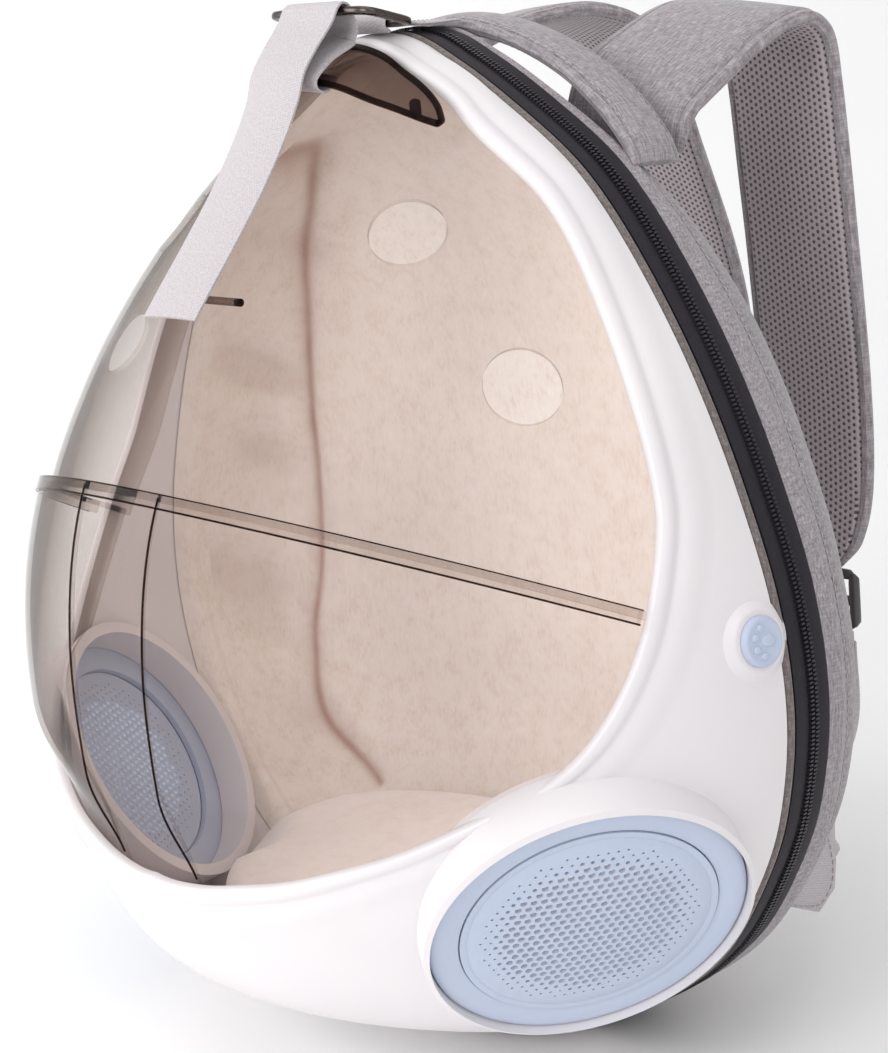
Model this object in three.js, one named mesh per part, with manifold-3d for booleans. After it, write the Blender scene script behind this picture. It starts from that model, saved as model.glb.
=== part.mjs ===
// Bubble pet carrier backpack, standing on its flat underside.
// Millimetres, +Z up, -Y is the clear bubble, +Y is the wearer's side.
// Symmetric about X = 0, but for the shoulder straps, the hatch webbing and its peg.
import * as THREE from 'three';
import { mergeVertices } from 'three/addons/utils/BufferGeometryUtils.js';
import Module from 'manifold-3d';

const wasm = await Module();
wasm.setup();

// The egg: heights run from its lowest point, which the floor cut takes off
const EGG_HEIGHT = 418;
const HALF_WIDTH = 184;
const FRONT_DEPTH = 166;
const BACK_DEPTH = 67;
const FLOOR_CUT = 12;
const CENTRE_RISE = 0.45 * EGG_HEIGHT;
const FRONT_POWER_LOW = 2.07;
const FRONT_POWER_HIGH = 1.67;
const BACK_POWER = 2.4;
const REST_FACE = -20;
const GAP = 0.3;
const CLEAR_GAP = 0.5;

// The hard front
const SHELL_WALL = 3;
const LIP_BAND = 7;
const LIP_RISE = 1.4;
const CLEAR_WALL = 2.2;
const TUCK = 12;
const BLEND = 55;
const LOWER_STEP = 4.2;
const RIDGE_TALL = 5.5;
const RIDGE_PROUD = 0.8;
const RIDGE_ANGLE = 26;
const PIVOT_RISE = 200;
const PIVOT_DEPTH = 10.5;
const PANEL_WIDTH = 47;
const HOLE_RADIUS = 14.5;
const CRESCENT_WALL = 3;
const CRESCENT_LIFT = 1.8;
const CRESCENT_FOOT = 4.6;
const CRESCENT_BOW = 3.5;
const PANEL_FOOT = 2;

// Vents and paw buttons
const RING_RADIUS = 60;
const RING_WIDTH = 11;
const RING_WALL = 5;
const GRILLE_WALL = 2;
const GRILLE_SAG = 2.5;
const SEAT_SINK = 9;
const SEAT_WALL = 2.6;
const SEAT_DEEP = 16;
const VENT_LEAN = 0.08;
const GRILLE_HOLE = 3.6;
const GRILLE_PITCH = 15;
const GRILLE_RINGS = 2;
const BUTTON_RADIUS = 9.3;
const BUTTON_WALL = 3;
const BOSS_RADIUS = 12;
const BOSS_RISE = 1.5;

// The seam belt
const PIPING_RADIUS = 2.4;
const TAPE_WIDTH = 19;
const TAPE_WALL = 1.5;
const COIL_WIDTH = 5;
const COIL_RISE = 1.2;

// The soft back
const CLOTH_WALL = 3;
const PLUSH_WALL = 2.5;
const CUSHION_TOP = 74;
const CUSHION_SHARE = 0.8;
const STRAP_WIDTH = 60;
const STRAP_WALL = 9;
const HANDLE_WIDTH = 25;
const HANDLE_WALL = 8;
const HANDLE_LIFT = 1.0;
const WEB_WIDTH = 33;
const WEB_WALL = 1.2;
const LOWER_WEB = 25;
const LOCK_WIDTH = 32;
const LOCK_TALL = 27;
const LOCK_WALL = 5;
const LOCK_SHIFT = 7;
const LOCK_DROP = 1.2;
const BUCKLE_WIDTH = 62;
const BUCKLE_BAR = 2;
const STRAP_CENTRE = 68.5;
const STRAP_ROOT = 9.4;
const RIGHT_REACH = 111;
const LEFT_REACH = 196;
const WEB_CENTRE = -3;
const WEB_SAG = 5;
const PEG_FROM = 8;
const PEG_TO = 31;
const PEG_RADIUS = 1.5;
const PEG_LIFT = 0.85;
const TAB_WALL = 2;

const SEAM_SIDES = 40;
const SKIN_ROWS = 5;
// Rows of the soft back in degrees in from the seam: it leaves the floor at the second
const POUCH_TURNS = [0, 18.5, 22.5, 45, 67.5];
const VENT_SIDES = 20;

// Level sections of the egg, as shares of the sizes above
const EGG = [
  { height: 0, width: 0, front: 0, back: 0 },
  { height: 0.065, width: 0.533, front: 0.38, back: 0.57 },
  { height: 0.15, width: 0.777, front: 0.81, back: 0.84 },
  { height: 0.235, width: 0.902, front: 0.922, back: 0.955 },
  { height: 0.305, width: 0.967, front: 0.97, back: 0.985 },
  { height: 0.4, width: 1, front: 0.994, back: 1 },
  { height: 0.5, width: 0.978, front: 0.988, back: 1 },
  { height: 0.6, width: 0.908, front: 0.934, back: 1 },
  { height: 0.7, width: 0.81, front: 0.807, back: 0.955 },
  { height: 0.8, width: 0.674, front: 0.614, back: 0.76 },
  { height: 0.87, width: 0.545, front: 0.452, back: 0.45 },
  { height: 0.93, width: 0.36, front: 0.337, back: 0.21 },
  { height: 0.97, width: 0.205, front: 0.265, back: 0.09 },
  { height: 1, width: 0, front: 0, back: 0 },
];

// The opening's lip: how far it turns in from the seam, by the angle round the front from the top
const LIP = [
  { around: 0, turn: 9 },
  { around: 8, turn: 9 },
  { around: 14, turn: 9.6 },
  { around: 18, turn: 11.4 },
  { around: 24, turn: 12 },
  { around: 34, turn: 11 },
  { around: 44, turn: 12.2 },
  { around: 54, turn: 13.4 },
  { around: 64, turn: 13.8 },
  { around: 70, turn: 14.8 },
  { around: 77, turn: 18.4 },
  { around: 84.5, turn: 22.6 },
  { around: 92, turn: 28 },
  { around: 98, turn: 33.7 },
  { around: 105, turn: 42.9 },
  { around: 113, turn: 50.3 },
  { around: 125, turn: 58 },
  { around: 141, turn: 63.6 },
  { around: 159, turn: 66.4 },
  { around: 180, turn: 67.8 },
];

// The crescent handle: its upper and lower edge
const CRESCENT = [
  { around: 0, top: 10.4, low: 21 },
  { around: 4, top: 10.4, low: 20.6 },
  { around: 8, top: 10.5, low: 19.8 },
  { around: 11.5, top: 11.4, low: 18.6 },
  { around: 14.5, top: 13, low: 17.2 },
  { around: 16.4, top: 14.8, low: 15.9 },
];

// Air holes on each side of the upper bubble and the vents, as shares of the half width and the egg's height
const AIR_HOLES = [
  { across: 0.38, rise: 0.842 },
  { across: 0.674, rise: 0.715 },
];
const VENT_SPOT = { across: 0.804, rise: 0.2416 };

// The padded straps, from the sewn end over the top to the ladder lock; the left one hangs further out.
// Out is a share of the strap's reach behind its sewn end, rise of the egg's height.
const STRAP_RIGHT = [
  { out: 0, rise: 0.8778, roll: -22, width: 0.95 },
  { out: 0.108, rise: 0.926, roll: -21, width: 1 },
  { out: 0.306, rise: 0.9545, roll: -18, width: 1 },
  { out: 0.568, rise: 0.981, roll: -12, width: 1 },
  { out: 0.766, rise: 0.983, roll: -6, width: 1 },
  { out: 0.874, rise: 0.962, roll: -3, width: 1 },
  { out: 0.91, rise: 0.914, roll: 0, width: 1 },
  { out: 0.937, rise: 0.837, roll: 0, width: 1 },
  { out: 0.973, rise: 0.718, roll: 0, width: 1 },
  { out: 1, rise: 0.598, roll: 0, width: 1 },
  { out: 0.991, rise: 0.49, roll: 0, width: 0.97 },
  { out: 0.964, rise: 0.4354, roll: 0, width: 0.8 },
  { out: 0.946, rise: 0.409, roll: 0, width: 0.5 },
];
const STRAP_LEFT = [
  { out: 0, rise: 0.8778, roll: 22, width: 0.95 },
  { out: 0.061, rise: 0.926, roll: 21, width: 1 },
  { out: 0.184, rise: 0.957, roll: 17, width: 1 },
  { out: 0.367, rise: 0.983, roll: 8, width: 1 },
  { out: 0.556, rise: 0.988, roll: 3, width: 1 },
  { out: 0.699, rise: 0.9665, roll: 0, width: 1 },
  { out: 0.786, rise: 0.909, roll: 0, width: 1 },
  { out: 0.857, rise: 0.825, roll: 0, width: 1 },
  { out: 0.954, rise: 0.706, roll: 0, width: 1 },
  { out: 1, rise: 0.598, roll: 0, width: 1 },
  { out: 0.98, rise: 0.49, roll: 0, width: 0.97 },
  { out: 0.944, rise: 0.4354, roll: 0, width: 0.8 },
  { out: 0.9235, rise: 0.409, roll: 0, width: 0.5 },
];

// The carry handle, from the middle to one end: shares of the half width, the height and the back's depth
const HANDLE = [
  { across: 0, rise: 0.9976, depth: 0.273 },
  { across: 0.125, rise: 0.9904, depth: 0.273 },
  { across: 0.2446, rise: 0.9737, depth: 0.273 },
  { across: 0.3533, rise: 0.9498, depth: 0.273 },
  { across: 0.4457, rise: 0.9211, depth: 0.258 },
  { across: 0.5163, rise: 0.89, depth: 0.2433 },
  { across: 0.5538, rise: 0.8658, depth: 0.2284 },
];

// The buckle's bars over the top of the egg
const BUCKLE_REAR = { depth: -9, above: 4.4 };
const BUCKLE_FRONT = { depth: -32, above: 11 };

// The webbing round a bar of the buckle, in steps of the bar's and the webbing's walls together
const ROUND_FRONT = [
  { depth: 1.1, rise: -3.25 },
  { depth: 1.75, rise: -2.03 },
  { depth: 1.38, rise: -0.69 },
  { depth: 0.81, rise: 0.59 },
  { depth: -0.12, rise: 1 },
  { depth: -0.94, rise: 0.5 },
  { depth: -2.03, rise: -1.09 },
];
const ROUND_REAR = [
  { depth: 11.4, rise: -0.6 },
  { depth: 4.7, rise: -0.47 },
  { depth: 1.88, rise: 0.375 },
  { depth: 0.31, rise: 1 },
  { depth: -0.75, rise: 0.69 },
  { depth: -1, rise: -0.31 },
  { depth: -0.19, rise: -1 },
];

// The hatch webbing down the bubble: degrees in from the seam, with its lift and its bow in web walls
const HATCH_WEB = [
  { turn: 17.3, lift: 9.7, bow: 0.5 },
  { turn: 21.3, lift: 8.6, bow: 1.25 },
  { turn: 26.1, lift: 7.5, bow: 1.7 },
  { turn: 32.8, lift: 6.7, bow: 1.7 },
  { turn: 40.4, lift: 6.1, bow: 1.3 },
  { turn: 46.8, lift: 5.3, bow: 1.2 },
  { turn: 51.8, lift: 5.5, bow: 1 },
  { turn: 54.7, lift: 5.8, bow: 1 },
];
const PEG_RISE = 0.7923;

// The corner tabs in side view, with the spots where the webbing meets one and ends on it:
// shares of the back's depth behind the zip and of the egg's height, and across a share of the half width
const TAB_ACROSS = 0.652;
const TAB_OUTLINE = [
  { depth: 0.706, rise: 0.2105 },
  { depth: 1.05, rise: 0.1962 },
  { depth: 1.14, rise: 0.153 },
  { depth: 1.11, rise: 0.122 },
  { depth: 0.945, rise: 0.1053 },
  { depth: 0.504, rise: 0.14 },
  { depth: 0.609, rise: 0.165 },
];
const TAB_MEET = { depth: 1.124, rise: 0.182 };
const TAB_STITCH = { depth: 0.885, rise: 0.148 };

const rad = THREE.MathUtils.degToRad;
const at = (x, y, z) => new THREE.Vector3(x, y, z);

// A smooth value from a table, with the slope at each row taken from its neighbours
function lookUp(table, by, key, value, power = 1) {
  const last = table.length - 1;
  const take = (i) => table[i][key] ** power;
  const spot = THREE.MathUtils.clamp(value, table[0][by], table[last][by]);
  let i = 0;
  while (i < last - 1 && spot > table[i + 1][by]) i += 1;
  const slope = (k) => {
    const low = Math.max(k - 1, 0);
    const high = Math.min(k + 1, last);
    return (take(high) - take(low)) / (table[high][by] - table[low][by]);
  };
  const span = table[i + 1][by] - table[i][by];
  const s = (spot - table[i][by]) / span;
  const mixed = take(i) * (2 * s ** 3 - 3 * s ** 2 + 1) + slope(i) * span * (s ** 3 - 2 * s ** 2 + s)
    + take(i + 1) * (3 * s ** 2 - 2 * s ** 3) + slope(i + 1) * span * (s ** 3 - s ** 2);
  return Math.max(mixed, 0) ** (1 / power);
}

function section(rise) {
  const share = rise / EGG_HEIGHT;
  return {
    width: HALF_WIDTH * lookUp(EGG, 'height', 'width', share, 2),
    front: FRONT_DEPTH * lookUp(EGG, 'height', 'front', share, 2),
    back: BACK_DEPTH * lookUp(EGG, 'height', 'back', share, 2),
    power: FRONT_POWER_LOW + (FRONT_POWER_HIGH - FRONT_POWER_LOW) * share,
  };
}

// How deep the front or the back surface lies at a spot of the front view
function depthAt(x, rise, side) {
  const row = section(THREE.MathUtils.clamp(rise, 0, EGG_HEIGHT));
  const power = side === 'front' ? row.power : BACK_POWER;
  const across = row.width > 0 ? Math.min(Math.abs(x) / row.width, 1) : 1;
  return row[side] * (1 - across ** power) ** (1 / power);
}

// The seam's distance from the polar centre, in the front view
const reachCache = new Map();
function reach(around) {
  const key = around.toFixed(6);
  if (reachCache.has(key)) return reachCache.get(key);
  let low = 0;
  let high = EGG_HEIGHT;
  for (let i = 0; i < 40; i += 1) {
    const mid = (low + high) / 2;
    const rise = CENTRE_RISE + mid * Math.cos(around);
    const inside = rise >= 0 && rise <= EGG_HEIGHT && mid * Math.abs(Math.sin(around)) <= section(rise).width;
    if (inside) low = mid;
    else high = mid;
  }
  reachCache.set(key, low);
  return low;
}

// A point of the front or back surface: around from the top, turned in from the seam
function bare(around, turn, side) {
  const r = reach(around) * Math.cos(turn);
  const x = r * Math.sin(around);
  const rise = CENTRE_RISE + r * Math.cos(around);
  const depth = depthAt(x, rise, side);
  return at(x, side === 'front' ? -depth : depth, rise);
}

function facing(around, turn, side) {
  const step = 0.004;
  const low = Math.max(turn - step, 0);
  const high = Math.min(turn + step, Math.PI / 2 - 0.02);
  const along = bare(around, high, side).sub(bare(around, Math.min(low, high - step), side));
  const level = Math.min(turn, high);
  const across = bare(around + step, level, side).sub(bare(around - step, level, side));
  const normal = side === 'front' ? along.cross(across) : across.cross(along);
  return normal.normalize();
}

function skinPoint(around, turn, offset, side = 'front', forward = 0) {
  const point = bare(around, turn, side).addScaledVector(facing(around, turn, side), offset);
  if (turn === 0) point.y = 0;
  point.y += forward;
  point.z = Math.max(point.z, FLOOR_CUT + Math.max(-offset, 0));
  return point;
}

// The turn and the angle round of a spot in the front view
function spotOf(across, rise) {
  const around = Math.atan2(across, rise - CENTRE_RISE);
  const r = Math.hypot(across, rise - CENTRE_RISE);
  return { around, turn: Math.acos(Math.min(r / reach(around), 1)) };
}

// One closed body from rows of points: a row of one is a pole, and a loop joins the last row to the first
function weave(rows, loop = false) {
  const spots = [];
  const starts = rows.map((row) => {
    const start = spots.length;
    spots.push(...row);
    return start;
  });
  const faces = [];
  const bands = loop ? rows.length : rows.length - 1;
  for (let r = 0; r < bands; r += 1) {
    const next = (r + 1) % rows.length;
    const sides = Math.max(rows[r].length, rows[next].length);
    for (let s = 0; s < sides; s += 1) {
      const a = starts[r] + (s % rows[r].length);
      const b = starts[r] + ((s + 1) % rows[r].length);
      const c = starts[next] + ((s + 1) % rows[next].length);
      const d = starts[next] + (s % rows[next].length);
      if (rows[r].length === 1) faces.push(a, c, d);
      else if (rows[next].length === 1) faces.push(a, b, c);
      else if (spots[a].distanceTo(spots[c]) <= spots[b].distanceTo(spots[d])) faces.push(a, b, c, a, c, d);
      else faces.push(a, b, d, b, c, d);
    }
  }
  let volume = 0;
  for (let i = 0; i < faces.length; i += 3) {
    volume += spots[faces[i]].dot(spots[faces[i + 1]].clone().cross(spots[faces[i + 2]]));
  }
  if (volume < 0) faces.reverse();
  const geometry = new THREE.BufferGeometry().setFromPoints(spots);
  geometry.setIndex(faces);
  return geometry;
}

function toSolid(geometry) {
  const plain = new THREE.BufferGeometry();
  plain.setAttribute('position', geometry.getAttribute('position'));
  if (geometry.index) plain.setIndex(geometry.index);
  const merged = mergeVertices(plain, 1e-4);
  return new wasm.Manifold(new wasm.Mesh({
    numProp: 3,
    vertProperties: Float32Array.from(merged.getAttribute('position').array),
    triVerts: Uint32Array.from(merged.index.array),
  }));
}

function toGeometry(solid) {
  const mesh = solid.getMesh();
  const geometry = new THREE.BufferGeometry();
  geometry.setAttribute('position', new THREE.BufferAttribute(Float32Array.from(mesh.vertProperties), 3));
  geometry.setIndex(Array.from(mesh.triVerts));
  return geometry;
}

function block(low, high) {
  const size = high.clone().sub(low);
  const geometry = new THREE.BoxGeometry(size.x, size.y, size.z);
  const middle = low.clone().add(high).multiplyScalar(0.5);
  return geometry.translate(middle.x, middle.y, middle.z);
}

// A round bar along a seat's axis, between two levels
function rod(seat, radius, from, to, sides, shift = { x: 0, y: 0 }) {
  const geometry = new THREE.CylinderGeometry(radius, radius, to - from, sides);
  geometry.rotateX(Math.PI / 2).translate(shift.x, shift.y, (from + to) / 2);
  return geometry.applyMatrix4(seat);
}

// A ring or disc turned from a closed profile of radius and level
function turned(seat, profile, sides) {
  const geometry = new THREE.LatheGeometry(profile.map((p) => new THREE.Vector2(p.radius, p.level)), sides);
  return toGeometry(toSolid(geometry.rotateX(Math.PI / 2))).applyMatrix4(seat);
}

function seatAt(point, normal) {
  const side = at(0, 0, 1).cross(normal).normalize();
  const up = normal.clone().cross(side);
  return new THREE.Matrix4().makeBasis(side, up, normal).setPosition(point);
}

function seatOn(across, rise, lean = 0) {
  const spot = spotOf(Math.abs(across), rise);
  const point = bare(spot.around, spot.turn, 'front');
  const normal = facing(spot.around, spot.turn, 'front');
  normal.z -= lean;
  normal.normalize();
  const side = Math.sign(across);
  point.x *= side;
  normal.x *= side;
  return seatAt(point, normal);
}

const ROUND = Array.from({ length: SEAM_SIDES }, (_, i) => (i / SEAM_SIDES) * 2 * Math.PI);
const toTop = (around) => THREE.MathUtils.radToDeg(Math.min(Math.abs(around), 2 * Math.PI - around));
const lipTurn = (around) => rad(lookUp(LIP, 'around', 'turn', toTop(around)));

// Turn per millimetre of surface at the lip
function turnPerMm(around) {
  const turn = lipTurn(around);
  const step = 0.01;
  return step / bare(around, turn + step, 'front').distanceTo(bare(around, turn, 'front'));
}

// The turn at some millimetres back from the lip, under the shell
function tuckTurn(around, back) {
  return lipTurn(around) - back * turnPerMm(around);
}

// The white shell
function shellBody() {
  const share = Array.from({ length: SKIN_ROWS }, (_, i) => i / SKIN_ROWS);
  const outer = [
    ...share.map((s) => ({ s, band: 0, lift: 0 })),
    { s: 1, band: 0, lift: 0 },
    { s: 1, band: 0.2, lift: LIP_RISE },
    { s: 1, band: 0.7, lift: LIP_RISE },
    { s: 1, band: 1, lift: LIP_RISE / 3 },
  ];
  const rowsOut = outer.map((row) => ROUND.map((around) => {
    const band = LIP_BAND * turnPerMm(around);
    const turn = (lipTurn(around) - band) * row.s + band * row.band;
    return skinPoint(around, turn, row.lift);
  }));
  const lipIn = ROUND.map((around) => skinPoint(around, lipTurn(around), -SHELL_WALL));
  const rowsIn = [1, 0.66, 0.33, 0].map((s) => ROUND.map((around) => (
    skinPoint(around, tuckTurn(around, TUCK) * s, -SHELL_WALL)
  )));
  let body = toSolid(weave([...rowsOut, lipIn, ...rowsIn], true));
  for (const side of [1, -1]) {
    const pivot = seatOn(side * section(PIVOT_RISE).width * 0.997, PIVOT_RISE);
    body = body.add(toSolid(rod(pivot, BOSS_RADIUS, -SHELL_WALL + 1, BOSS_RISE, 16)));
    const seat = ventSeat(side);
    const half = RING_RADIUS / 2;
    body = body.add(toSolid(rod(seat, RING_RADIUS, -SEAT_SINK - SEAT_DEEP, -SEAT_SINK - GAP, VENT_SIDES)));
    body = body.subtract(toSolid(rod(seat, RING_RADIUS - SEAT_WALL, -SEAT_SINK - half, half, VENT_SIDES)));
    body = body.subtract(toSolid(rod(seat, RING_RADIUS + GAP, -SEAT_SINK - GAP, half, VENT_SIDES)));
  }
  const far = 2 * EGG_HEIGHT;
  return body.intersect(toSolid(block(at(-far, -far, FLOOR_CUT), at(far, 0, far))));
}

function ventSeat(side) {
  return seatOn(side * VENT_SPOT.across * HALF_WIDTH, VENT_SPOT.rise * EGG_HEIGHT, VENT_LEAN);
}

// A clear cap whose skins lie at one offset under the lip and swell to another away from it
function clearCap(outside, inside) {
  const capRow = (row, skin) => ROUND.map((around) => {
    const lip = lipTurn(around);
    const turn = row.share === undefined ? tuckTurn(around, row.back) : lip + (Math.PI / 2 - lip) * row.share;
    const swell = THREE.MathUtils.smoothstep((turn - lip) / turnPerMm(around) / BLEND, 0, 1);
    return skinPoint(around, turn, skin.lip + (skin.full - skin.lip) * swell);
  });
  const inward = [0.14, 0.3, 0.5, 0.75].map((share) => ({ share }));
  const rows = [{ back: TUCK }, { back: 0 }, ...inward];
  const pole = (skin) => [skinPoint(0, Math.PI / 2, skin.full)];
  const outer = rows.map((row) => capRow(row, outside));
  const inner = rows.map((row) => capRow(row, inside));
  return toSolid(weave([pole(outside), ...outer.reverse(), ...inner, pole(inside)]));
}

// Everything above or below the ridge's plane, which passes through both pivots
function ridgeWedge(from, to) {
  const far = 2 * EGG_HEIGHT;
  const geometry = block(at(-far, -far, from), at(far, far, to));
  return toSolid(geometry.rotateX(-rad(RIDGE_ANGLE)).translate(0, -PIVOT_DEPTH, PIVOT_RISE));
}

const LIP_UNDER = -SHELL_WALL - CLEAR_GAP;
const UPPER_UNDER = LIP_UNDER - CLEAR_WALL - CLEAR_GAP;
const LIP_LOW = CENTRE_RISE - reach(Math.PI) * Math.cos(lipTurn(Math.PI)) + PANEL_FOOT;

function upperBubble() {
  let body = clearCap(
    { lip: UPPER_UNDER, full: 0 },
    { lip: UPPER_UNDER - CLEAR_WALL, full: -CLEAR_WALL },
  ).intersect(ridgeWedge(-RIDGE_TALL / 2, 3 * EGG_HEIGHT));
  for (const hole of AIR_HOLES) {
    for (const side of [1, -1]) {
      const seat = seatOn(side * hole.across * HALF_WIDTH, hole.rise * EGG_HEIGHT);
      body = body.subtract(toSolid(rod(seat, HOLE_RADIUS, -HOLE_RADIUS, HOLE_RADIUS, 16)));
    }
  }
  return body;
}

function lowerParts() {
  const wall = clearCap(
    { lip: LIP_UNDER, full: LOWER_STEP },
    { lip: LIP_UNDER - CLEAR_WALL, full: LOWER_STEP - CLEAR_WALL },
  ).intersect(ridgeWedge(-3 * EGG_HEIGHT, 0));
  const deep = clearCap(
    { lip: LIP_UNDER, full: LOWER_STEP + RIDGE_PROUD },
    { lip: UPPER_UNDER + CLEAR_GAP, full: GAP },
  );
  const rim = deep.intersect(ridgeWedge(-RIDGE_TALL, 0));
  let whole = wall.add(rim);
  for (const side of [1, -1]) {
    const bore = rod(ventSeat(side), RING_RADIUS + CLEAR_GAP, -RING_RADIUS, 0, VENT_SIDES);
    whole = whole.subtract(toSolid(bore));
  }
  const far = 2 * EGG_HEIGHT;
  const half = PANEL_WIDTH / 2;
  const slot = toSolid(block(at(-half, -far, LIP_LOW), at(half, 0, far)));
  const strip = toSolid(block(at(GAP - half, -far, LIP_LOW + GAP), at(half - GAP, 0, far)));
  return { bubble: whole.subtract(slot), panel: whole.intersect(strip) };
}

function latchCrescent() {
  const last = CRESCENT[CRESCENT.length - 1].around;
  const stops = [-1, -0.86, -0.68, -0.48, -0.26, 0, 0.26, 0.48, 0.68, 0.86, 1];
  const rows = stops.map((share) => {
    const around = rad(last * share);
    const top = rad(lookUp(CRESCENT, 'around', 'top', Math.abs(last * share)));
    const low = rad(lookUp(CRESCENT, 'around', 'low', Math.abs(last * share)));
    const high = CRESCENT_LIFT + CRESCENT_WALL / 2;
    const deep = CRESCENT_LIFT - CRESCENT_WALL / 2;
    const ring = [[0, high], [0.5, high], [1, high], [1, deep], [0.5, deep], [0, deep]];
    return ring.map(([s, offset]) => skinPoint(around, top + (low - top) * s, offset));
  });
  const ends = [rows[0], rows[rows.length - 1]].map((row) => [middleOf(row)]);
  let body = toSolid(weave([ends[0], ...rows, ends[1]]));
  for (const side of [1, -1]) {
    const spot = skinPoint(rad(side * 12.6), rad(15.2), 0);
    const seat = seatOn(spot.x, spot.z);
    body = body.add(toSolid(rod(seat, 2.2, -CRESCENT_FOOT, CRESCENT_LIFT, 8)));
  }
  return body;
}

function middleOf(row) {
  return row.reduce((sum, p) => sum.add(p), at(0, 0, 0)).divideScalar(row.length);
}

const COIL_OUT = GAP + COIL_RISE;

// A band round the whole seam with a section given as inset from the outline and depth
function seamBand(sectionPoints) {
  return weave(sectionPoints.map((p) => ROUND.map((around) => {
    const point = skinPoint(around, 0, -p.inset, 'front', p.depth);
    point.z = Math.max(point.z, FLOOR_CUT + COIL_OUT + p.inset);
    return point;
  })), true);
}

const TAPE_FROM = 2 * PIPING_RADIUS + 2 * GAP;
const TAPE_TO = TAPE_FROM + TAPE_WIDTH;
const CLOTH_FROM = TAPE_TO + GAP;

function pipingBand() {
  const sides = 5;
  return seamBand(Array.from({ length: sides }, (_, i) => {
    const turn = ((i + 0.5) / sides) * 2 * Math.PI;
    return {
      inset: PIPING_RADIUS * (0.7 - Math.sin(turn)),
      depth: GAP + PIPING_RADIUS + PIPING_RADIUS * Math.cos(turn),
    };
  }));
}

function boxBand(from, to, out, wall) {
  return seamBand([
    { inset: out, depth: from },
    { inset: out, depth: to },
    { inset: out + wall, depth: to },
    { inset: out + wall, depth: from },
  ]);
}

// A soft pouch behind the seam: outer skin, rim and inner skin
function pouch(inset, wall, collarFrom) {
  const rowAt = (turn, offset, shift = CLOTH_FROM) => ROUND.map((around) => (
    skinPoint(around, turn, offset, 'back', shift)
  ));
  const pole = (offset) => [skinPoint(0, Math.PI / 2, offset, 'back', CLOTH_FROM)];
  const turns = POUCH_TURNS.map(rad);
  const outer = turns.map((turn) => rowAt(turn, -inset));
  const inner = turns.map((turn) => rowAt(turn, -inset - wall));
  const ends = collarFrom === undefined ? [] : [-inset, -inset - wall];
  const collar = ends.map((out) => rowAt(0, out, collarFrom));
  return weave([pole(-inset), ...outer.reverse(), ...collar, ...inner, pole(-inset - wall)]);
}

function cushionBody() {
  const sides = 28;
  const levels = [0.311, 0.6, 0.9, 1];
  const rows = levels.map((share, i) => {
    const rise = CUSHION_TOP * share;
    const row = section(rise);
    const pull = i === levels.length - 1 ? 0.93 : 1;
    return Array.from({ length: sides }, (_, k) => {
      const turn = (k / sides) * 2 * Math.PI;
      const front = Math.sin(turn) < 0;
      const back = CLOTH_FROM + row.back * CUSHION_SHARE * 0.9 - CLOTH_WALL;
      const depth = front ? row.front * CUSHION_SHARE : back;
      return at(row.width * CUSHION_SHARE * pull * Math.cos(turn), depth * pull * Math.sin(turn), rise);
    });
  });
  const caps = [rows[0], rows[rows.length - 1]].map((row) => [middleOf(row)]);
  let body = toSolid(weave([caps[0], ...rows, caps[1]]));
  for (const side of [1, -1]) {
    const bore = rod(ventSeat(side), RING_RADIUS + CLEAR_GAP, -SEAT_SINK - 34, RING_RADIUS / 2, VENT_SIDES);
    body = body.subtract(toSolid(bore));
  }
  return body;
}

// A strap's stations in millimetres, from its sewn end on the back shell
function strapPath(table, reachBack) {
  const root = CLOTH_FROM + depthAt(STRAP_CENTRE, table[0].rise * EGG_HEIGHT, 'back') + STRAP_ROOT;
  return table.map((row) => ({ ...row, depth: root + row.out * reachBack, rise: row.rise * EGG_HEIGHT }));
}

// A padded strap: rounded sections along its stations
function paddedStrap(table, centre, side) {
  const rows = table.map((row, i) => {
    const before = table[Math.max(i - 1, 0)];
    const after = table[Math.min(i + 1, table.length - 1)];
    const along = at(0, after.depth - before.depth, after.rise - before.rise).normalize();
    const turn = rad(row.roll);
    const across = at(Math.cos(turn), 0, Math.sin(turn));
    across.addScaledVector(along, -across.dot(along)).normalize();
    const out = across.clone().cross(along).normalize();
    return capsule(STRAP_WIDTH * row.width, STRAP_WALL).map((p) => at(side * centre, row.depth, row.rise)
      .addScaledVector(across, p.x).addScaledVector(out, p.y));
  });
  const caps = [rows[0], rows[rows.length - 1]].map((row) => [middleOf(row)]);
  return weave([caps[0], ...rows, caps[1]]);
}

function capsule(width, wall) {
  const w = width / 2;
  const h = wall / 2;
  const cut = Math.min(h, w) * 0.75;
  return [[w, 0], [w - cut, h], [0, h], [cut - w, h], [-w, 0], [cut - w, -h], [0, -h], [w - cut, -h]]
    .map(([x, y]) => ({ x, y }));
}

function carryHandle() {
  const right = HANDLE.map((row) => ({
    across: row.across * HALF_WIDTH,
    rise: row.rise * EGG_HEIGHT + HANDLE_LIFT,
    depth: CLOTH_FROM + row.depth * BACK_DEPTH,
  }));
  const left = right.slice(1).reverse().map((row) => ({ ...row, across: -row.across }));
  const path = [...left, ...right];
  const rows = path.map((row, i) => {
    const before = path[Math.max(i - 1, 0)];
    const after = path[Math.min(i + 1, path.length - 1)];
    const along = at(after.across - before.across, 0, after.rise - before.rise).normalize();
    const out = at(0, 1, 0).cross(along).normalize();
    return capsule(HANDLE_WIDTH, HANDLE_WALL).map((p) => (
      at(row.across, row.depth + p.x, row.rise).addScaledVector(out, p.y)
    ));
  });
  const caps = [rows[0], rows[rows.length - 1]].map((row) => [middleOf(row)]);
  return weave([caps[0], ...rows, caps[1]]);
}

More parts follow.
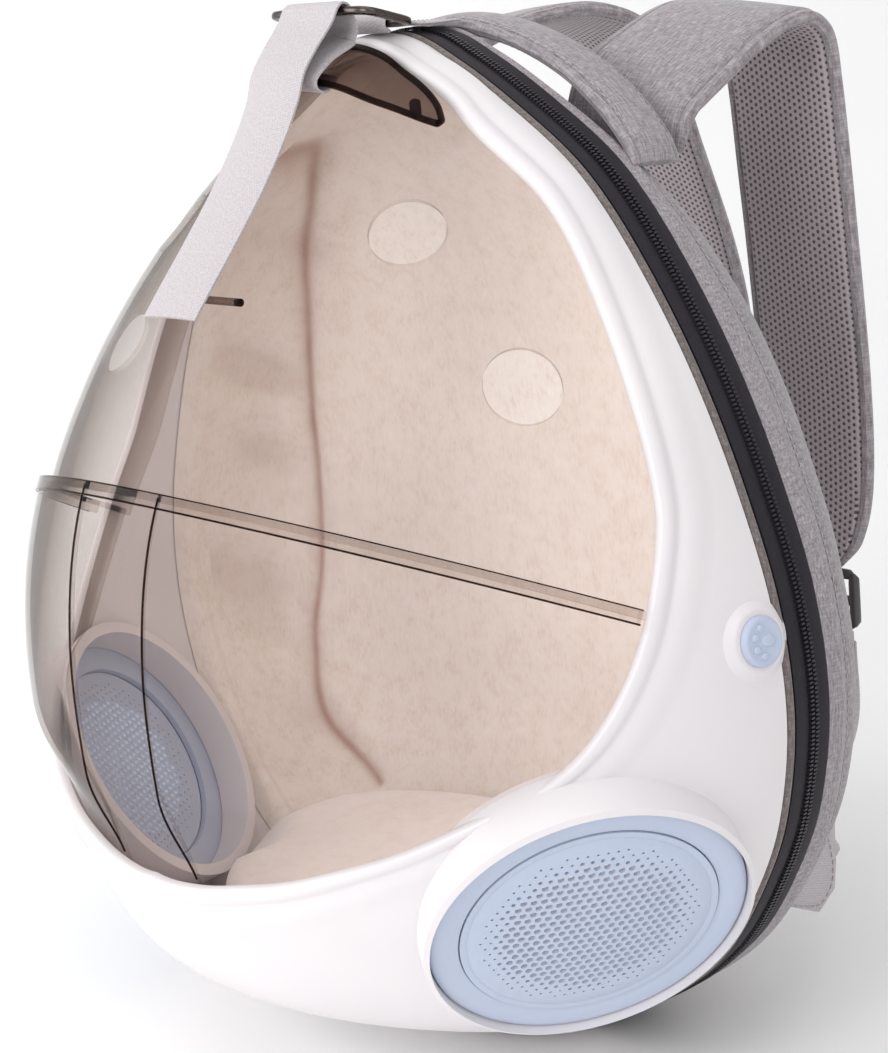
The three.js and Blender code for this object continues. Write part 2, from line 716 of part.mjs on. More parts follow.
// Webbing seen from the side, given its width across
function webbing(path, width, centre) {
  const edge = (sign) => path.map((row, i) => {
    const before = path[Math.max(i - 1, 0)];
    const after = path[Math.min(i + 1, path.length - 1)];
    const along = new THREE.Vector2(after.depth - before.depth, after.rise - before.rise).normalize();
    const lift = (sign * WEB_WALL) / 2;
    return new THREE.Vector2(row.depth - along.y * lift, row.rise + along.x * lift);
  });
  const shape = new THREE.Shape([...edge(1), ...edge(-1).reverse()]);
  const geometry = new THREE.ExtrudeGeometry(shape, { depth: width, bevelEnabled: false });
  return standUp(geometry).translate(centre - width / 2, 0, 0);
}

// Stations round a bar of the buckle
function roundBar(bar, table) {
  const step = BUCKLE_BAR + WEB_WALL;
  return table.map((row) => ({
    depth: bar.depth + row.depth * step,
    rise: EGG_HEIGHT + bar.above + row.rise * step,
    bow: 0,
  }));
}

// The hatch webbing loops round the crescent's lower edge before it reaches the buckle
function hatchWeb() {
  const reachOut = CRESCENT_WALL / 2 + 5 * GAP + WEB_WALL / 2;
  const low = CRESCENT[0].low;
  const loop = [
    { turn: low - 4, offset: CRESCENT_LIFT - reachOut },
    { turn: low - 0.6, offset: CRESCENT_LIFT - reachOut },
    { turn: low + 0.9, offset: CRESCENT_LIFT - reachOut / 2 },
    { turn: low + 0.9, offset: CRESCENT_LIFT + reachOut / 2 },
    { turn: low - 0.6, offset: CRESCENT_LIFT + reachOut },
    { turn: low - 5, offset: CRESCENT_LIFT + reachOut },
    { turn: CRESCENT[0].top + 1, offset: CRESCENT_LIFT + reachOut },
  ];
  const onBubble = (row) => {
    const point = skinPoint(0, rad(row.turn), row.offset);
    return { depth: point.y, rise: point.z, bow: row.bow };
  };
  const down = HATCH_WEB.map((row) => (
    onBubble({ turn: row.turn, offset: row.lift * WEB_WALL, bow: row.bow * WEB_WALL })
  ));
  const up = loop.map((row) => onBubble({ ...row, bow: CRESCENT_BOW }));
  const path = [...up, ...roundBar(BUCKLE_FRONT, ROUND_FRONT), ...down];
  const shares = [-1, -0.5, 0, 0.5, 1];
  const rows = path.map((row, i) => {
    const before = path[Math.max(i - 1, 0)];
    const after = path[Math.min(i + 1, path.length - 1)];
    const lift = at(0, -(after.rise - before.rise), after.depth - before.depth).setLength(WEB_WALL / 2);
    const under = facing(0, spotOf(0, Math.min(row.rise, 0.99 * EGG_HEIGHT)).turn, 'front');
    const middle = shares.map((k) => {
      const across = WEB_CENTRE + (k * WEB_WIDTH) / 2;
      return at(across, row.depth, row.rise).addScaledVector(under, -row.bow * (2 * across / WEB_WIDTH) ** 2);
    });
    const back = [...middle].reverse();
    return [...middle.map((p) => p.clone().add(lift)), ...back.map((p) => p.clone().sub(lift))];
  });
  const caps = [rows[0], rows[rows.length - 1]].map((row) => [middleOf(row)]);
  return weave([caps[0], ...rows, caps[1]]);
}

// Turns a shape drawn in depth and rise so that its thickness runs along X
function standUp(geometry) {
  const turn = new THREE.Matrix4().makeBasis(at(0, 1, 0), at(0, 0, 1), at(1, 0, 0));
  return toGeometry(toSolid(geometry.applyMatrix4(turn)));
}

function frameBuckle() {
  const depth = BUCKLE_FRONT.depth - BUCKLE_REAR.depth;
  const rise = BUCKLE_FRONT.above - BUCKLE_REAR.above;
  const along = at(0, depth, rise);
  const length = along.length();
  along.normalize();
  const across = at(1, 0, 0);
  const out = across.clone().cross(along);
  const middle = at(WEB_CENTRE, BUCKLE_REAR.depth + depth / 2, EGG_HEIGHT + BUCKLE_REAR.above + rise / 2);
  const ring = Array.from({ length: 16 }, (_, i) => {
    const turn = ((i + 0.5) / 16) * 2 * Math.PI;
    const c = Math.cos(turn);
    const s = Math.sin(turn);
    return {
      x: Math.sign(c) * Math.abs(c) ** 0.35 * (BUCKLE_WIDTH / 2 - BUCKLE_BAR),
      y: Math.sign(s) * Math.abs(s) ** 0.35 * (length / 2),
    };
  });
  const rows = Array.from({ length: 6 }, (_, k) => {
    const turn = (k / 6) * 2 * Math.PI;
    return ring.map((p) => {
      const pull = new THREE.Vector2(p.x, p.y).normalize().multiplyScalar(BUCKLE_BAR * Math.cos(turn));
      return middle.clone().addScaledVector(across, p.x + pull.x).addScaledVector(along, p.y + pull.y)
        .addScaledVector(out, BUCKLE_BAR * Math.sin(turn));
    });
  });
  return weave(rows, true);
}

// The small bar on the bubble beside the webbing's end
function strapPeg() {
  const spot = spotOf(PEG_FROM, PEG_RISE * EGG_HEIGHT);
  const middle = skinPoint(spot.around, spot.turn, PEG_LIFT);
  const bar = new THREE.CylinderGeometry(PEG_RADIUS, PEG_RADIUS, PEG_TO - PEG_FROM, 8).rotateX(Math.PI / 2);
  return standUp(bar.translate(middle.y, middle.z, (PEG_FROM + PEG_TO) / 2));
}

function ladderLock(table, side) {
  const end = table[table.length - 1];
  const low = at(-LOCK_WIDTH / 2, -LOCK_WALL / 2, -LOCK_TALL);
  const high = at(LOCK_WIDTH / 2, LOCK_WALL / 2, 0);
  let body = toSolid(block(low, high));
  const bar = 4;
  for (const level of [bar, LOCK_TALL / 2 + bar / 2]) {
    const windowLow = at(bar - LOCK_WIDTH / 2, -LOCK_WALL, -level - LOCK_TALL / 2 + 1.5 * bar);
    const windowHigh = at(LOCK_WIDTH / 2 - bar, LOCK_WALL, -level);
    body = body.subtract(toSolid(block(windowLow, windowHigh)));
  }
  return toGeometry(body).translate(side * (STRAP_CENTRE + LOCK_SHIFT), end.depth, end.rise - LOCK_DROP);
}

// A spot of the corner tab's side view
function tabSpot(spot) {
  return { depth: CLOTH_FROM + spot.depth * BACK_DEPTH, rise: spot.rise * EGG_HEIGHT };
}

// The lower webbing hangs from the ladder lock and turns flat against the corner tab
function lowerWeb(table, side) {
  const end = table[table.length - 1];
  const face = TAB_ACROSS * HALF_WIDTH - TAB_WALL / 2 - GAP - WEB_WALL / 2;
  const tab = [TAB_MEET, TAB_STITCH].map(tabSpot);
  const top = at(STRAP_CENTRE + LOCK_SHIFT, end.depth, end.rise - LOCK_DROP - LOCK_TALL - GAP);
  const [meet, stitch] = tab.map((spot) => at(face, spot.depth, spot.rise));
  const sag = top.clone().lerp(meet, 0.5);
  sag.z -= WEB_SAG;
  const stops = [top, top.clone().setZ(top.z - 2 * WEB_SAG), sag, meet, stitch];
  const path = new THREE.CatmullRomCurve3(stops, false, 'centripetal').getPoints(8);
  const rows = path.map((spot, i) => {
    const along = path[Math.min(i + 1, 8)].clone().sub(path[Math.max(i - 1, 0)]);
    if (i === 0) along.set(0, 0, -1);
    if (i >= 6) along.x = 0;
    along.normalize();
    spot.x = Math.min(spot.x, face);
    const twist = (Math.PI / 2) * THREE.MathUtils.smoothstep(i / 8, 0.1, 0.7);
    const across = at(Math.cos(twist), 0, -Math.sin(twist));
    across.addScaledVector(along, -across.dot(along)).normalize();
    const out = across.clone().cross(along).normalize();
    return [[1, 1], [-1, 1], [-1, -1], [1, -1]].map(([a, b]) => {
      const point = spot.clone().addScaledVector(across, (a * LOWER_WEB) / 2);
      point.addScaledVector(out, (b * WEB_WALL) / 2);
      point.x *= side;
      return point;
    });
  });
  const caps = [rows[0], rows[rows.length - 1]].map((row) => [middleOf(row)]);
  return weave([caps[0], ...rows, caps[1]]);
}

function cornerTab(side) {
  const corners = TAB_OUTLINE.map(tabSpot).map((spot) => new THREE.Vector2(spot.depth, spot.rise));
  const shape = new THREE.Shape(corners);
  const geometry = new THREE.ExtrudeGeometry(shape, { depth: TAB_WALL, bevelEnabled: false });
  return standUp(geometry).translate(side * TAB_ACROSS * HALF_WIDTH - TAB_WALL / 2, 0, 0);
}

function ventRing(side) {
  const inner = RING_RADIUS - RING_WIDTH;
  return turned(ventSeat(side), [
    { radius: RING_RADIUS, level: -SEAT_SINK },
    { radius: RING_RADIUS, level: RING_WALL - SEAT_SINK - 1.5 },
    { radius: RING_RADIUS - 2, level: RING_WALL - SEAT_SINK },
    { radius: inner, level: RING_WALL - SEAT_SINK },
    { radius: inner, level: RING_WALL - SEAT_SINK - GRILLE_WALL - GAP },
    { radius: inner - 2.5, level: RING_WALL - SEAT_SINK - GRILLE_WALL - GAP },
    { radius: inner - 2.5, level: -SEAT_SINK },
    { radius: RING_RADIUS, level: -SEAT_SINK },
  ], VENT_SIDES);
}

function ventGrille(side) {
  const seat = ventSeat(side);
  const radius = RING_RADIUS - RING_WIDTH - GAP;
  const low = RING_WALL - SEAT_SINK - GRILLE_WALL;
  let disc = toSolid(turned(seat, [
    { radius: 0, level: low + GRILLE_SAG },
    { radius, level: low },
    { radius, level: low + GRILLE_WALL },
    { radius: 0, level: low + GRILLE_WALL + GRILLE_SAG },
  ], VENT_SIDES));
  for (let ring = 0; ring <= GRILLE_RINGS; ring += 1) {
    const count = Math.max(6 * ring, 1);
    for (let i = 0; i < count; i += 1) {
      const turn = (i / count) * 2 * Math.PI;
      const shift = { x: ring * GRILLE_PITCH * Math.cos(turn), y: ring * GRILLE_PITCH * Math.sin(turn) };
      disc = disc.subtract(toSolid(rod(seat, GRILLE_HOLE, -20, 20, 5, shift)));
    }
  }
  return toGeometry(disc);
}

// A paw in low relief on a round cap: one main pad and four toes, its toes towards the bubble
const PAW = [
  { across: 0.24, up: 0, radius: 0.3 },
  { across: -0.1, up: 0.55, radius: 0.15 },
  { across: -0.42, up: 0.24, radius: 0.16 },
  { across: -0.42, up: -0.24, radius: 0.16 },
  { across: -0.1, up: -0.55, radius: 0.15 },
];
function pawButton(side) {
  const seat = seatOn(side * section(PIVOT_RISE).width * 0.997, PIVOT_RISE);
  const low = BOSS_RISE + GAP;
  let cap = toSolid(rod(seat, BUTTON_RADIUS, low, low + BUTTON_WALL - 0.6, 14));
  for (const pad of PAW) {
    const shift = { x: side * pad.across * BUTTON_RADIUS, y: pad.up * BUTTON_RADIUS };
    cap = cap.add(toSolid(rod(seat, pad.radius * BUTTON_RADIUS, low + 0.5, low + BUTTON_WALL, 5, shift)));
  }
  return toGeometry(cap);
}

const COLOURS = {
  shell: { color: 0xe9e3e2, roughness: 0.35 },
  pale_blue: { color: 0xb5c1dc, roughness: 0.45 },
  clear: { color: 0x9d8a7c, roughness: 0.05, transparent: true, opacity: 0.35 },
  smoky: { color: 0x5b4a46, roughness: 0.1, transparent: true, opacity: 0.6 },
  webbing: { color: 0xcdc8cb, roughness: 0.8 },
  gunmetal: { color: 0x3b3534, roughness: 0.3, metalness: 0.9 },
  piping: { color: 0x69625f, roughness: 0.9 },
  zip: { color: 0x1f1a22, roughness: 0.7 },
  melange: { color: 0x968f92, roughness: 0.95 },
  plush: { color: 0xd7c8be, roughness: 1 },
  lock: { color: 0x4a4648, roughness: 0.5 },
};

const group = new THREE.Group();
group.position.set(0, -REST_FACE, -FLOOR_CUT);

function place(name, geometry, colour) {
  geometry.computeVertexNormals();
  const mesh = new THREE.Mesh(geometry, new THREE.MeshStandardMaterial(COLOURS[colour]));
  mesh.name = name;
  group.add(mesh);
}

const lower = lowerParts();
place('shell_front', toGeometry(shellBody()), 'shell');
place('bubble_upper', toGeometry(upperBubble()), 'clear');
place('bubble_lower', toGeometry(lower.bubble), 'clear');
place('bubble_front_panel', toGeometry(lower.panel), 'clear');
place('latch_handle', toGeometry(latchCrescent()), 'smoky');
place('strap_peg', strapPeg(), 'smoky');
place('hatch_strap', hatchWeb(), 'webbing');
place('strap_anchor', webbing(roundBar(BUCKLE_REAR, ROUND_REAR), WEB_WIDTH, WEB_CENTRE), 'webbing');
place('hatch_buckle', frameBuckle(), 'gunmetal');
place('piping', pipingBand(), 'piping');
place('zipper_tape', boxBand(TAPE_FROM, TAPE_TO, 0, TAPE_WALL), 'zip');
place('zipper_coil', boxBand(
  TAPE_FROM + (TAPE_WIDTH - COIL_WIDTH) / 2,
  TAPE_FROM + (TAPE_WIDTH + COIL_WIDTH) / 2,
  -COIL_OUT,
  COIL_RISE,
), 'zip');
place('back_shell', pouch(0, CLOTH_WALL), 'melange');
place('lining', pouch(CLOTH_WALL + CLEAR_GAP, PLUSH_WALL, TAPE_FROM), 'plush');
place('seat_cushion', toGeometry(cushionBody()), 'plush');
place('carry_handle', carryHandle(), 'melange');

const right = strapPath(STRAP_RIGHT, RIGHT_REACH);
const left = strapPath(STRAP_LEFT, LEFT_REACH);
for (const [name, side, table] of [['right', 1, right], ['left', -1, left]]) {
  place(`vent_ring_${name}`, ventRing(side), 'pale_blue');
  place(`vent_grille_${name}`, ventGrille(side), 'pale_blue');
  place(`paw_button_${name}`, pawButton(side), 'pale_blue');
  place(`shoulder_strap_${name}`, paddedStrap(table, STRAP_CENTRE, side), 'melange');
  place(`adjuster_${name}`, ladderLock(table, side), 'lock');
  place(`strap_web_${name}`, lowerWeb(table, side), 'webbing');
  place(`web_tab_${name}`, cornerTab(side), 'webbing');
}

export default group;
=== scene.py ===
# Bubble pet carrier backpack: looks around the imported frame. Row frame, metres, +Z up, -Y the clear bubble.
import math
from contextlib import contextmanager

import bmesh
import bpy
import numpy as np
from mathutils import Matrix, Vector


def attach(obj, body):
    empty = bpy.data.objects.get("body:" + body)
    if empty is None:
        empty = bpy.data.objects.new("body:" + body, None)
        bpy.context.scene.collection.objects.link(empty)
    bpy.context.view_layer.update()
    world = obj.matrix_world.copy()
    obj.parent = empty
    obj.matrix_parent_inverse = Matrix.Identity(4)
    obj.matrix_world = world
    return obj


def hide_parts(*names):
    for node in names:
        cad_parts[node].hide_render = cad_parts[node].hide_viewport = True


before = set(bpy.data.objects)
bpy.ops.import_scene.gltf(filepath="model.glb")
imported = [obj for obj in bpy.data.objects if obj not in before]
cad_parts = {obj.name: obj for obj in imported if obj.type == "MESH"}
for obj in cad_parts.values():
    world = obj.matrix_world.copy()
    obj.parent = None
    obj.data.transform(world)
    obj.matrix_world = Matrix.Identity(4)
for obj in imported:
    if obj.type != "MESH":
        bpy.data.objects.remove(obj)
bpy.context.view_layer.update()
scene = bpy.context.scene

# ---------------------------------------------------------------- camera
EYE = Vector((0.7073, -0.5954, 0.4410))
BACK = Vector((0.731, -0.636, 0.246)).normalized()
RIGHT = Vector((0.671, 0.736, -0.091))
RIGHT = (RIGHT - BACK * RIGHT.dot(BACK)).normalized()
UP = BACK.cross(RIGHT)

camera = bpy.data.objects.new("camera", bpy.data.cameras.new("camera"))
scene.collection.objects.link(camera)
camera.data.sensor_fit = "HORIZONTAL"
camera.data.sensor_width = 36
camera.data.lens = 94.54
camera.data.shift_x = 0.0113
camera.data.shift_y = 0.0057
camera.data.clip_start = 0.05
camera.matrix_world = Matrix.Translation(EYE) @ Matrix((RIGHT, UP, BACK)).transposed().to_4x4()
scene.camera = camera

# ---------------------------------------------------------------- the egg, in millimetres from its lowest point
EGG_HEIGHT, HALF_WIDTH, FRONT_DEPTH, BACK_DEPTH, FLOOR_CUT = 418.0, 184.0, 166.0, 67.0, 12.0
CENTRE_RISE = 0.45 * EGG_HEIGHT
SHELL_WALL, CLEAR_WALL, CLEAR_GAP, TUCK, BLEND = 3.0, 2.2, 0.5, 12.0, 55.0
LOWER_STEP, RIDGE_TALL, RIDGE_PROUD, RIDGE_ANGLE = 4.2, 5.5, 0.8, 26.0
PIVOT_RISE, PIVOT_DEPTH, PANEL_HALF = 200.0, 10.5, 23.5
RING_RADIUS, RING_WIDTH, SEAT_SINK, RING_WALL = 60.0, 11.0, 9.0, 5.0
PIPING_RADIUS, TAPE_WIDTH, CLOTH_WALL, PLUSH_WALL, GAP = 2.4, 19.0, 3.0, 2.5, 0.3
TAPE_FROM = 2 * PIPING_RADIUS + 2 * GAP
TAPE_TO = TAPE_FROM + TAPE_WIDTH
CLOTH_FROM = TAPE_TO + GAP

EGG = np.array([  # height, width, front, back
    (0, 0, 0, 0), (0.065, 0.533, 0.38, 0.57), (0.15, 0.777, 0.81, 0.84), (0.235, 0.902, 0.922, 0.955),
    (0.305, 0.967, 0.97, 0.985), (0.4, 1, 0.994, 1), (0.5, 0.978, 0.988, 1), (0.6, 0.908, 0.934, 1),
    (0.7, 0.81, 0.807, 0.955), (0.8, 0.674, 0.614, 0.76), (0.87, 0.545, 0.452, 0.45), (0.93, 0.36, 0.337, 0.21),
    (0.97, 0.205, 0.265, 0.09), (1, 0, 0, 0),
])
LIP = np.array([  # degrees round from the top, degrees of turn in from the seam
    (0, 9), (8, 9), (14, 9.7), (18, 11.2), (24, 11.8), (34, 11.6), (44, 12.2), (54, 13.0), (64, 13.9), (70, 15.1),
    (77, 18.4), (84.5, 22.6), (92, 28), (98, 33.7), (105, 42.9), (113, 50.3), (125, 58), (141, 63.6), (159, 66.4),
    (180, 67.8),
])


def hermite(xs, ys, v):
    """A smooth value, with the slope at each row taken from its neighbours."""
    xs, ys = np.asarray(xs, float), np.asarray(ys, float)
    v = np.clip(np.asarray(v, float), xs[0], xs[-1])
    i = np.clip(np.searchsorted(xs, v, side="left") - 1, 0, len(xs) - 2)
    slope = np.empty_like(ys)
    slope[1:-1] = (ys[2:] - ys[:-2]) / (xs[2:] - xs[:-2])
    slope[0] = (ys[1] - ys[0]) / (xs[1] - xs[0])
    slope[-1] = (ys[-1] - ys[-2]) / (xs[-1] - xs[-2])
    h = xs[i + 1] - xs[i]
    s = (v - xs[i]) / h
    return (ys[i] * (2 * s**3 - 3 * s**2 + 1) + slope[i] * h * (s**3 - 2 * s**2 + s)
            + ys[i + 1] * (3 * s**2 - 2 * s**3) + slope[i + 1] * h * (s**3 - s**2))


def share(column, rise):
    """A column of the egg's table at a rise, from 0 to 1."""
    value = hermite(EGG[:, 0], EGG[:, column] ** 2, np.clip(rise, 0, EGG_HEIGHT) / EGG_HEIGHT)
    return np.sqrt(np.maximum(value, 0))


def half_width(rise):
    return HALF_WIDTH * share(1, rise)


def depth_at(x, rise, side="front"):
    """How far the egg reaches from the seam plane, forward or backward."""
    power = 2.07 - 0.4 * rise / EGG_HEIGHT if side == "front" else 2.4
    full = FRONT_DEPTH * share(2, rise) if side == "front" else BACK_DEPTH * share(3, rise)
    across = np.minimum(np.abs(x) / np.maximum(half_width(rise), 1e-6), 1)
    return full * np.maximum(1 - across**power, 0) ** (1 / power)


def reach(around):
    """The seam's distance from the egg's centre, by halving."""
    low, high = np.zeros_like(around), np.full_like(around, EGG_HEIGHT)
    for _ in range(40):
        mid = (low + high) / 2
        rise = CENTRE_RISE + mid * np.cos(around)
        inside = (rise >= 0) & (rise <= EGG_HEIGHT) & (mid * np.abs(np.sin(around)) <= half_width(rise))
        low, high = np.where(inside, mid, low), np.where(inside, high, mid)
    return low


def bare(around, turn, side):
    """A point of the egg by its way round from the top and its turn in from the seam."""
    r = reach(around) * np.cos(turn)
    x, rise = r * np.sin(around), CENTRE_RISE + r * np.cos(around)
    depth = depth_at(x, np.clip(rise, 0, EGG_HEIGHT), side)
    return np.stack([x, -depth if side == "front" else depth, rise], -1)


def facing(around, turn, side):
    """The outward normal there."""
    step = 0.004
    low, high = np.maximum(turn - step, 0), np.minimum(turn + step, math.pi / 2 - 0.02)
    low = np.minimum(low, high - step)
    along = bare(around, high, side) - bare(around, low, side)
    t = np.minimum(turn, high)
    across = bare(around + step, t, side) - bare(around - step, t, side)
    n = np.cross(along, across) if side == "front" else np.cross(across, along)
    return n / np.maximum(np.linalg.norm(n, axis=-1, keepdims=True), 1e-9)


def skin(around, turn, offset=0.0, side="front", forward=0.0):
    """A surface at an offset from the egg, held above the floor cut."""
    around, turn = np.broadcast_arrays(np.asarray(around, float), np.asarray(turn, float))
    offset = np.broadcast_to(np.asarray(offset, float), around.shape)
    p = bare(around, turn, side) + facing(around, turn, side) * offset[..., None]
    p[..., 1] = np.where(turn == 0, 0, p[..., 1]) + forward
    p[..., 2] = np.maximum(p[..., 2], FLOOR_CUT + np.maximum(-offset, 0))
    return p


def spot_of(across, rise):
    """The way round and the turn of a place seen from the front."""
    around = math.atan2(across, rise - CENTRE_RISE)
    r = math.hypot(across, rise - CENTRE_RISE)
    return around, math.acos(min(r / float(reach(np.array(around))), 1))


def lip_turn(around):
    """The turn at which the opening's lip stands."""
    top = np.degrees(np.where(around > math.pi, 2 * math.pi - around, around))
    return np.radians(hermite(LIP[:, 0], LIP[:, 1], np.abs(top)))


def turn_per_mm(around):
    t = lip_turn(around)
    d = np.linalg.norm(bare(around, t + 0.01, "front") - bare(around, t, "front"), axis=-1)
    return 0.01 / d


def row(p):
    """Egg millimetres to the row frame in metres."""
    p = np.asarray(p, float)
    return (p + np.array([0, 20.0, -FLOOR_CUT])) * 0.001


def seat(across, rise, lean=0.0):
    """Point, side, up and normal of a seat on the front surface, in egg millimetres."""
    around, turn = spot_of(abs(across), rise)
    point = bare(np.array(around), np.array(turn), "front")
    n = facing(np.array(around), np.array(turn), "front")
    n[2] -= lean
    n /= np.linalg.norm(n)
    if across < 0:
        point[0] *= -1
        n[0] *= -1
    side = np.cross([0, 0, 1], n)
    side /= np.linalg.norm(side)
    return point, side, np.cross(n, side), n


# ---------------------------------------------------------------- mesh helpers
def make(name, verts, faces, smooth=True, sharp=None):
    """An object from points in egg millimetres."""
    mesh = bpy.data.meshes.new(name)
    mesh.from_pydata([tuple(v) for v in row(verts)], [], faces)
    mesh.polygons.foreach_set("use_smooth", [smooth] * len(mesh.polygons))
    if sharp:
        mesh.set_sharp_from_angle(angle=math.radians(sharp))
    mesh.validate()
    obj = bpy.data.objects.new(name, mesh)
    scene.collection.objects.link(obj)
    return obj


def grid(name, p, wrap_rows=False, wrap_cols=False, uv=None, caps=False, **kw):
    """A mesh from rows x columns of points."""
    n, m = p.shape[:2]
    verts = p.reshape(-1, 3)
    faces = []
    for i in range(n if wrap_rows else n - 1):
        for j in range(m if wrap_cols else m - 1):
            a, b = i * m + j, i * m + (j + 1) % m
            c, d = ((i + 1) % n) * m + (j + 1) % m, ((i + 1) % n) * m + j
            faces.append((a, b, c, d))
    if caps:
        faces.append(tuple(range(m))[::-1])
        faces.append(tuple((n - 1) * m + j for j in range(m)))
    obj = make(name, verts, faces, **kw)
    if uv is not None:
        flat = uv.reshape(-1, 2)
        layer = obj.data.uv_layers.new(name="UVMap")
        layer.data.foreach_set("uv", np.concatenate([flat[list(f)] for f in faces]).astype(np.float32).ravel())
    outward(obj)
    return obj


@contextmanager
def edited(obj):
    """Opens an object's mesh for bmesh and writes it back."""
    bm = bmesh.new()
    bm.from_mesh(obj.data)
    yield bm
    bm.to_mesh(obj.data)
    bm.free()


def outward(obj):
    with edited(obj) as bm:
        bmesh.ops.recalc_face_normals(bm, faces=bm.faces)


def cut_plane(obj, point, normal):
    """Removes what lies on the normal's side of a plane, in egg millimetres."""
    with edited(obj) as bm:
        bmesh.ops.bisect_plane(bm, geom=bm.verts[:] + bm.edges[:] + bm.faces[:], plane_co=Vector(row(point)),
                               plane_no=Vector(normal), clear_outer=True)


def shade(obj, sharp=None):
    """Smooth faces, with the edges over an angle in degrees kept sharp."""
    obj.data.polygons.foreach_set("use_smooth", [True] * len(obj.data.polygons))
    if sharp:
        obj.data.set_sharp_from_angle(angle=math.radians(sharp))
    return obj


def apply_all(obj):
    bpy.context.view_layer.update()
    done = bpy.data.meshes.new_from_object(obj.evaluated_get(bpy.context.evaluated_depsgraph_get()))
    obj.modifiers.clear()
    old = obj.data
    obj.data = done
    bpy.data.meshes.remove(old)


def cut_out(obj, cutters, sharp=35):
    """Cuts the cutters out of an object and removes them."""
    for cutter in cutters:
        m = obj.modifiers.new("cut", "BOOLEAN")
        m.object, m.operation, m.solver = cutter, "DIFFERENCE", "EXACT"
    apply_all(obj)
    for cutter in cutters:
        bpy.data.objects.remove(cutter)
    return shade(obj, sharp)


def solid(obj, wall, sharp=35, bevel=None):
    """Gives a sheet its wall, inward, and bevels its edges."""
    m = obj.modifiers.new("wall", "SOLIDIFY")
    m.thickness, m.offset, m.use_even_offset = wall * 0.001, -1, True
    if bevel:
        b = obj.modifiers.new("edge", "BEVEL")
        b.width, b.segments, b.limit_method, b.angle_limit = bevel * 0.001, 3, "ANGLE", math.radians(50)
    apply_all(obj)
    return shade(obj, sharp)


def turned(place, profile, sides):
    """Rings about a seat's normal; the profile is (radius, level) in millimetres."""
    point, side, up, n = place
    return np.array([[point + side * r * math.cos(a) + up * r * math.sin(a) + n * level
                      for a in around_circle(sides)] for r, level in profile])


def lathe(name, place, profile, sides, closed=True):
    return grid(name, turned(place, profile, sides), wrap_rows=closed, wrap_cols=True, sharp=35)


def rod(name, place, radius, low, high, sides):
    return grid(name, turned(place, [(radius, low), (radius, high)], sides), wrap_cols=True, caps=True, smooth=False)


def painted(obj, *mats):
    for m in mats:
        obj.data.materials.append(m)
    return obj


def join(name, objs):
    """One object from several, each with its own materials."""
    mesh = bpy.data.meshes.new(name)
    bm = bmesh.new()
    mats = []
    for o in objs:
        start = len(bm.faces)
        bm.from_mesh(o.data)
        bm.faces.ensure_lookup_table()
        lookup = []
        for m in o.data.materials or [None]:
            if m not in mats:
                mats.append(m)
            lookup.append(mats.index(m))
        for f in bm.faces[start:]:
            f.material_index = lookup[min(f.material_index, len(lookup) - 1)]
    bm.to_mesh(mesh)
    bm.free()
    for m in mats:
        mesh.materials.append(m)
    for o in objs:
        bpy.data.objects.remove(o)
    obj = bpy.data.objects.new(name, mesh)
    scene.collection.objects.link(obj)
    return obj


def spline(points, steps):
    """A smooth line through points (n x k), even in its own parameter, with about the same step length."""
    p = np.asarray(points, float)
    d = np.r_[0, np.cumsum(np.linalg.norm(np.diff(p[:, :3], axis=0), axis=1))]
    fine = np.linspace(0, d[-1], steps)
    return np.stack([hermite(d, p[:, k], fine) for k in range(p.shape[1])], -1), fine


def unit(v):
    return v / np.maximum(np.linalg.norm(v, axis=-1, keepdims=True), 1e-9)


def ease(t):
    """From 0 to 1 with level ends."""
    t = np.clip(t, 0, 1)
    return t * t * (3 - 2 * t)


def squarish(v, power):
    """A sine or cosine made squarer, for rounded bars and frames."""
    return np.sign(v) * np.abs(v) ** power


def around_circle(sides):
    return np.linspace(0, 2 * math.pi, sides, endpoint=False)


def ribbon(name, centre, across, section, length, sharp=50, caps=True):
    """Sections (x across, y out) swept along a line. section is rows x columns x 2 in millimetres."""
    along = unit(np.gradient(centre, axis=0))
    across = unit(across - along * np.sum(across * along, -1, keepdims=True))
    out = np.cross(across, along)
    p = (centre[:, None] + across[:, None] * section[..., :1] + out[:, None] * section[..., 1:])
    m = section.shape[1]
    uv = np.zeros((len(centre), m, 2))
    uv[..., 0] = section[..., 0] * 0.001
    uv[..., 1] = length[:, None] * 0.001
    return grid(name, p, wrap_cols=True, uv=uv, caps=caps, sharp=sharp), along, across, out


def stitches(line, out, pitch, long, thick):
    """Thread in short raised dashes along a line of points."""
    d = np.r_[0, np.cumsum(np.linalg.norm(np.diff(line, axis=0), axis=1))]
    verts, faces = [], []
    for k in range(int(d[-1] / pitch)):
        s0 = k * pitch + 0.3
        spots = [np.array([np.interp(s, d, line[:, i]) for i in range(3)]) for s in np.linspace(s0, s0 + long, 4)]
        n = unit(np.array([np.interp(s0, d, out[:, i]) for i in range(3)]))
        t = unit(spots[-1] - spots[0])
        b = np.cross(t, n)
        base = len(verts)
        for i, (spot, r) in enumerate(zip(spots, (0.5, 1, 1, 0.5))):
            rise = thick * (0.25, 0.8, 0.8, 0.25)[i]
            for a in range(5):
                w = 2 * math.pi * a / 5
                verts.append(spot + n * (rise + thick * r * math.sin(w)) + b * thick * r * math.cos(w))
        for i in range(3):
            for a in range(5):
                q = base + 5 * i
                faces.append((q + a, q + (a + 1) % 5, q + 5 + (a + 1) % 5, q + 5 + a))
        faces.append(tuple(base + a for a in range(5))[::-1])
        faces.append(tuple(base + 15 + a for a in range(5)))
    return painted(make("thread", np.array(verts), faces), thread_grey)


# ---------------------------------------------------------------- materials
def srgb(*c):
    return tuple((v / 255 / 12.92 if v <= 10 else ((v / 255 + 0.055) / 1.055) ** 2.4) for v in c) + (1.0,)


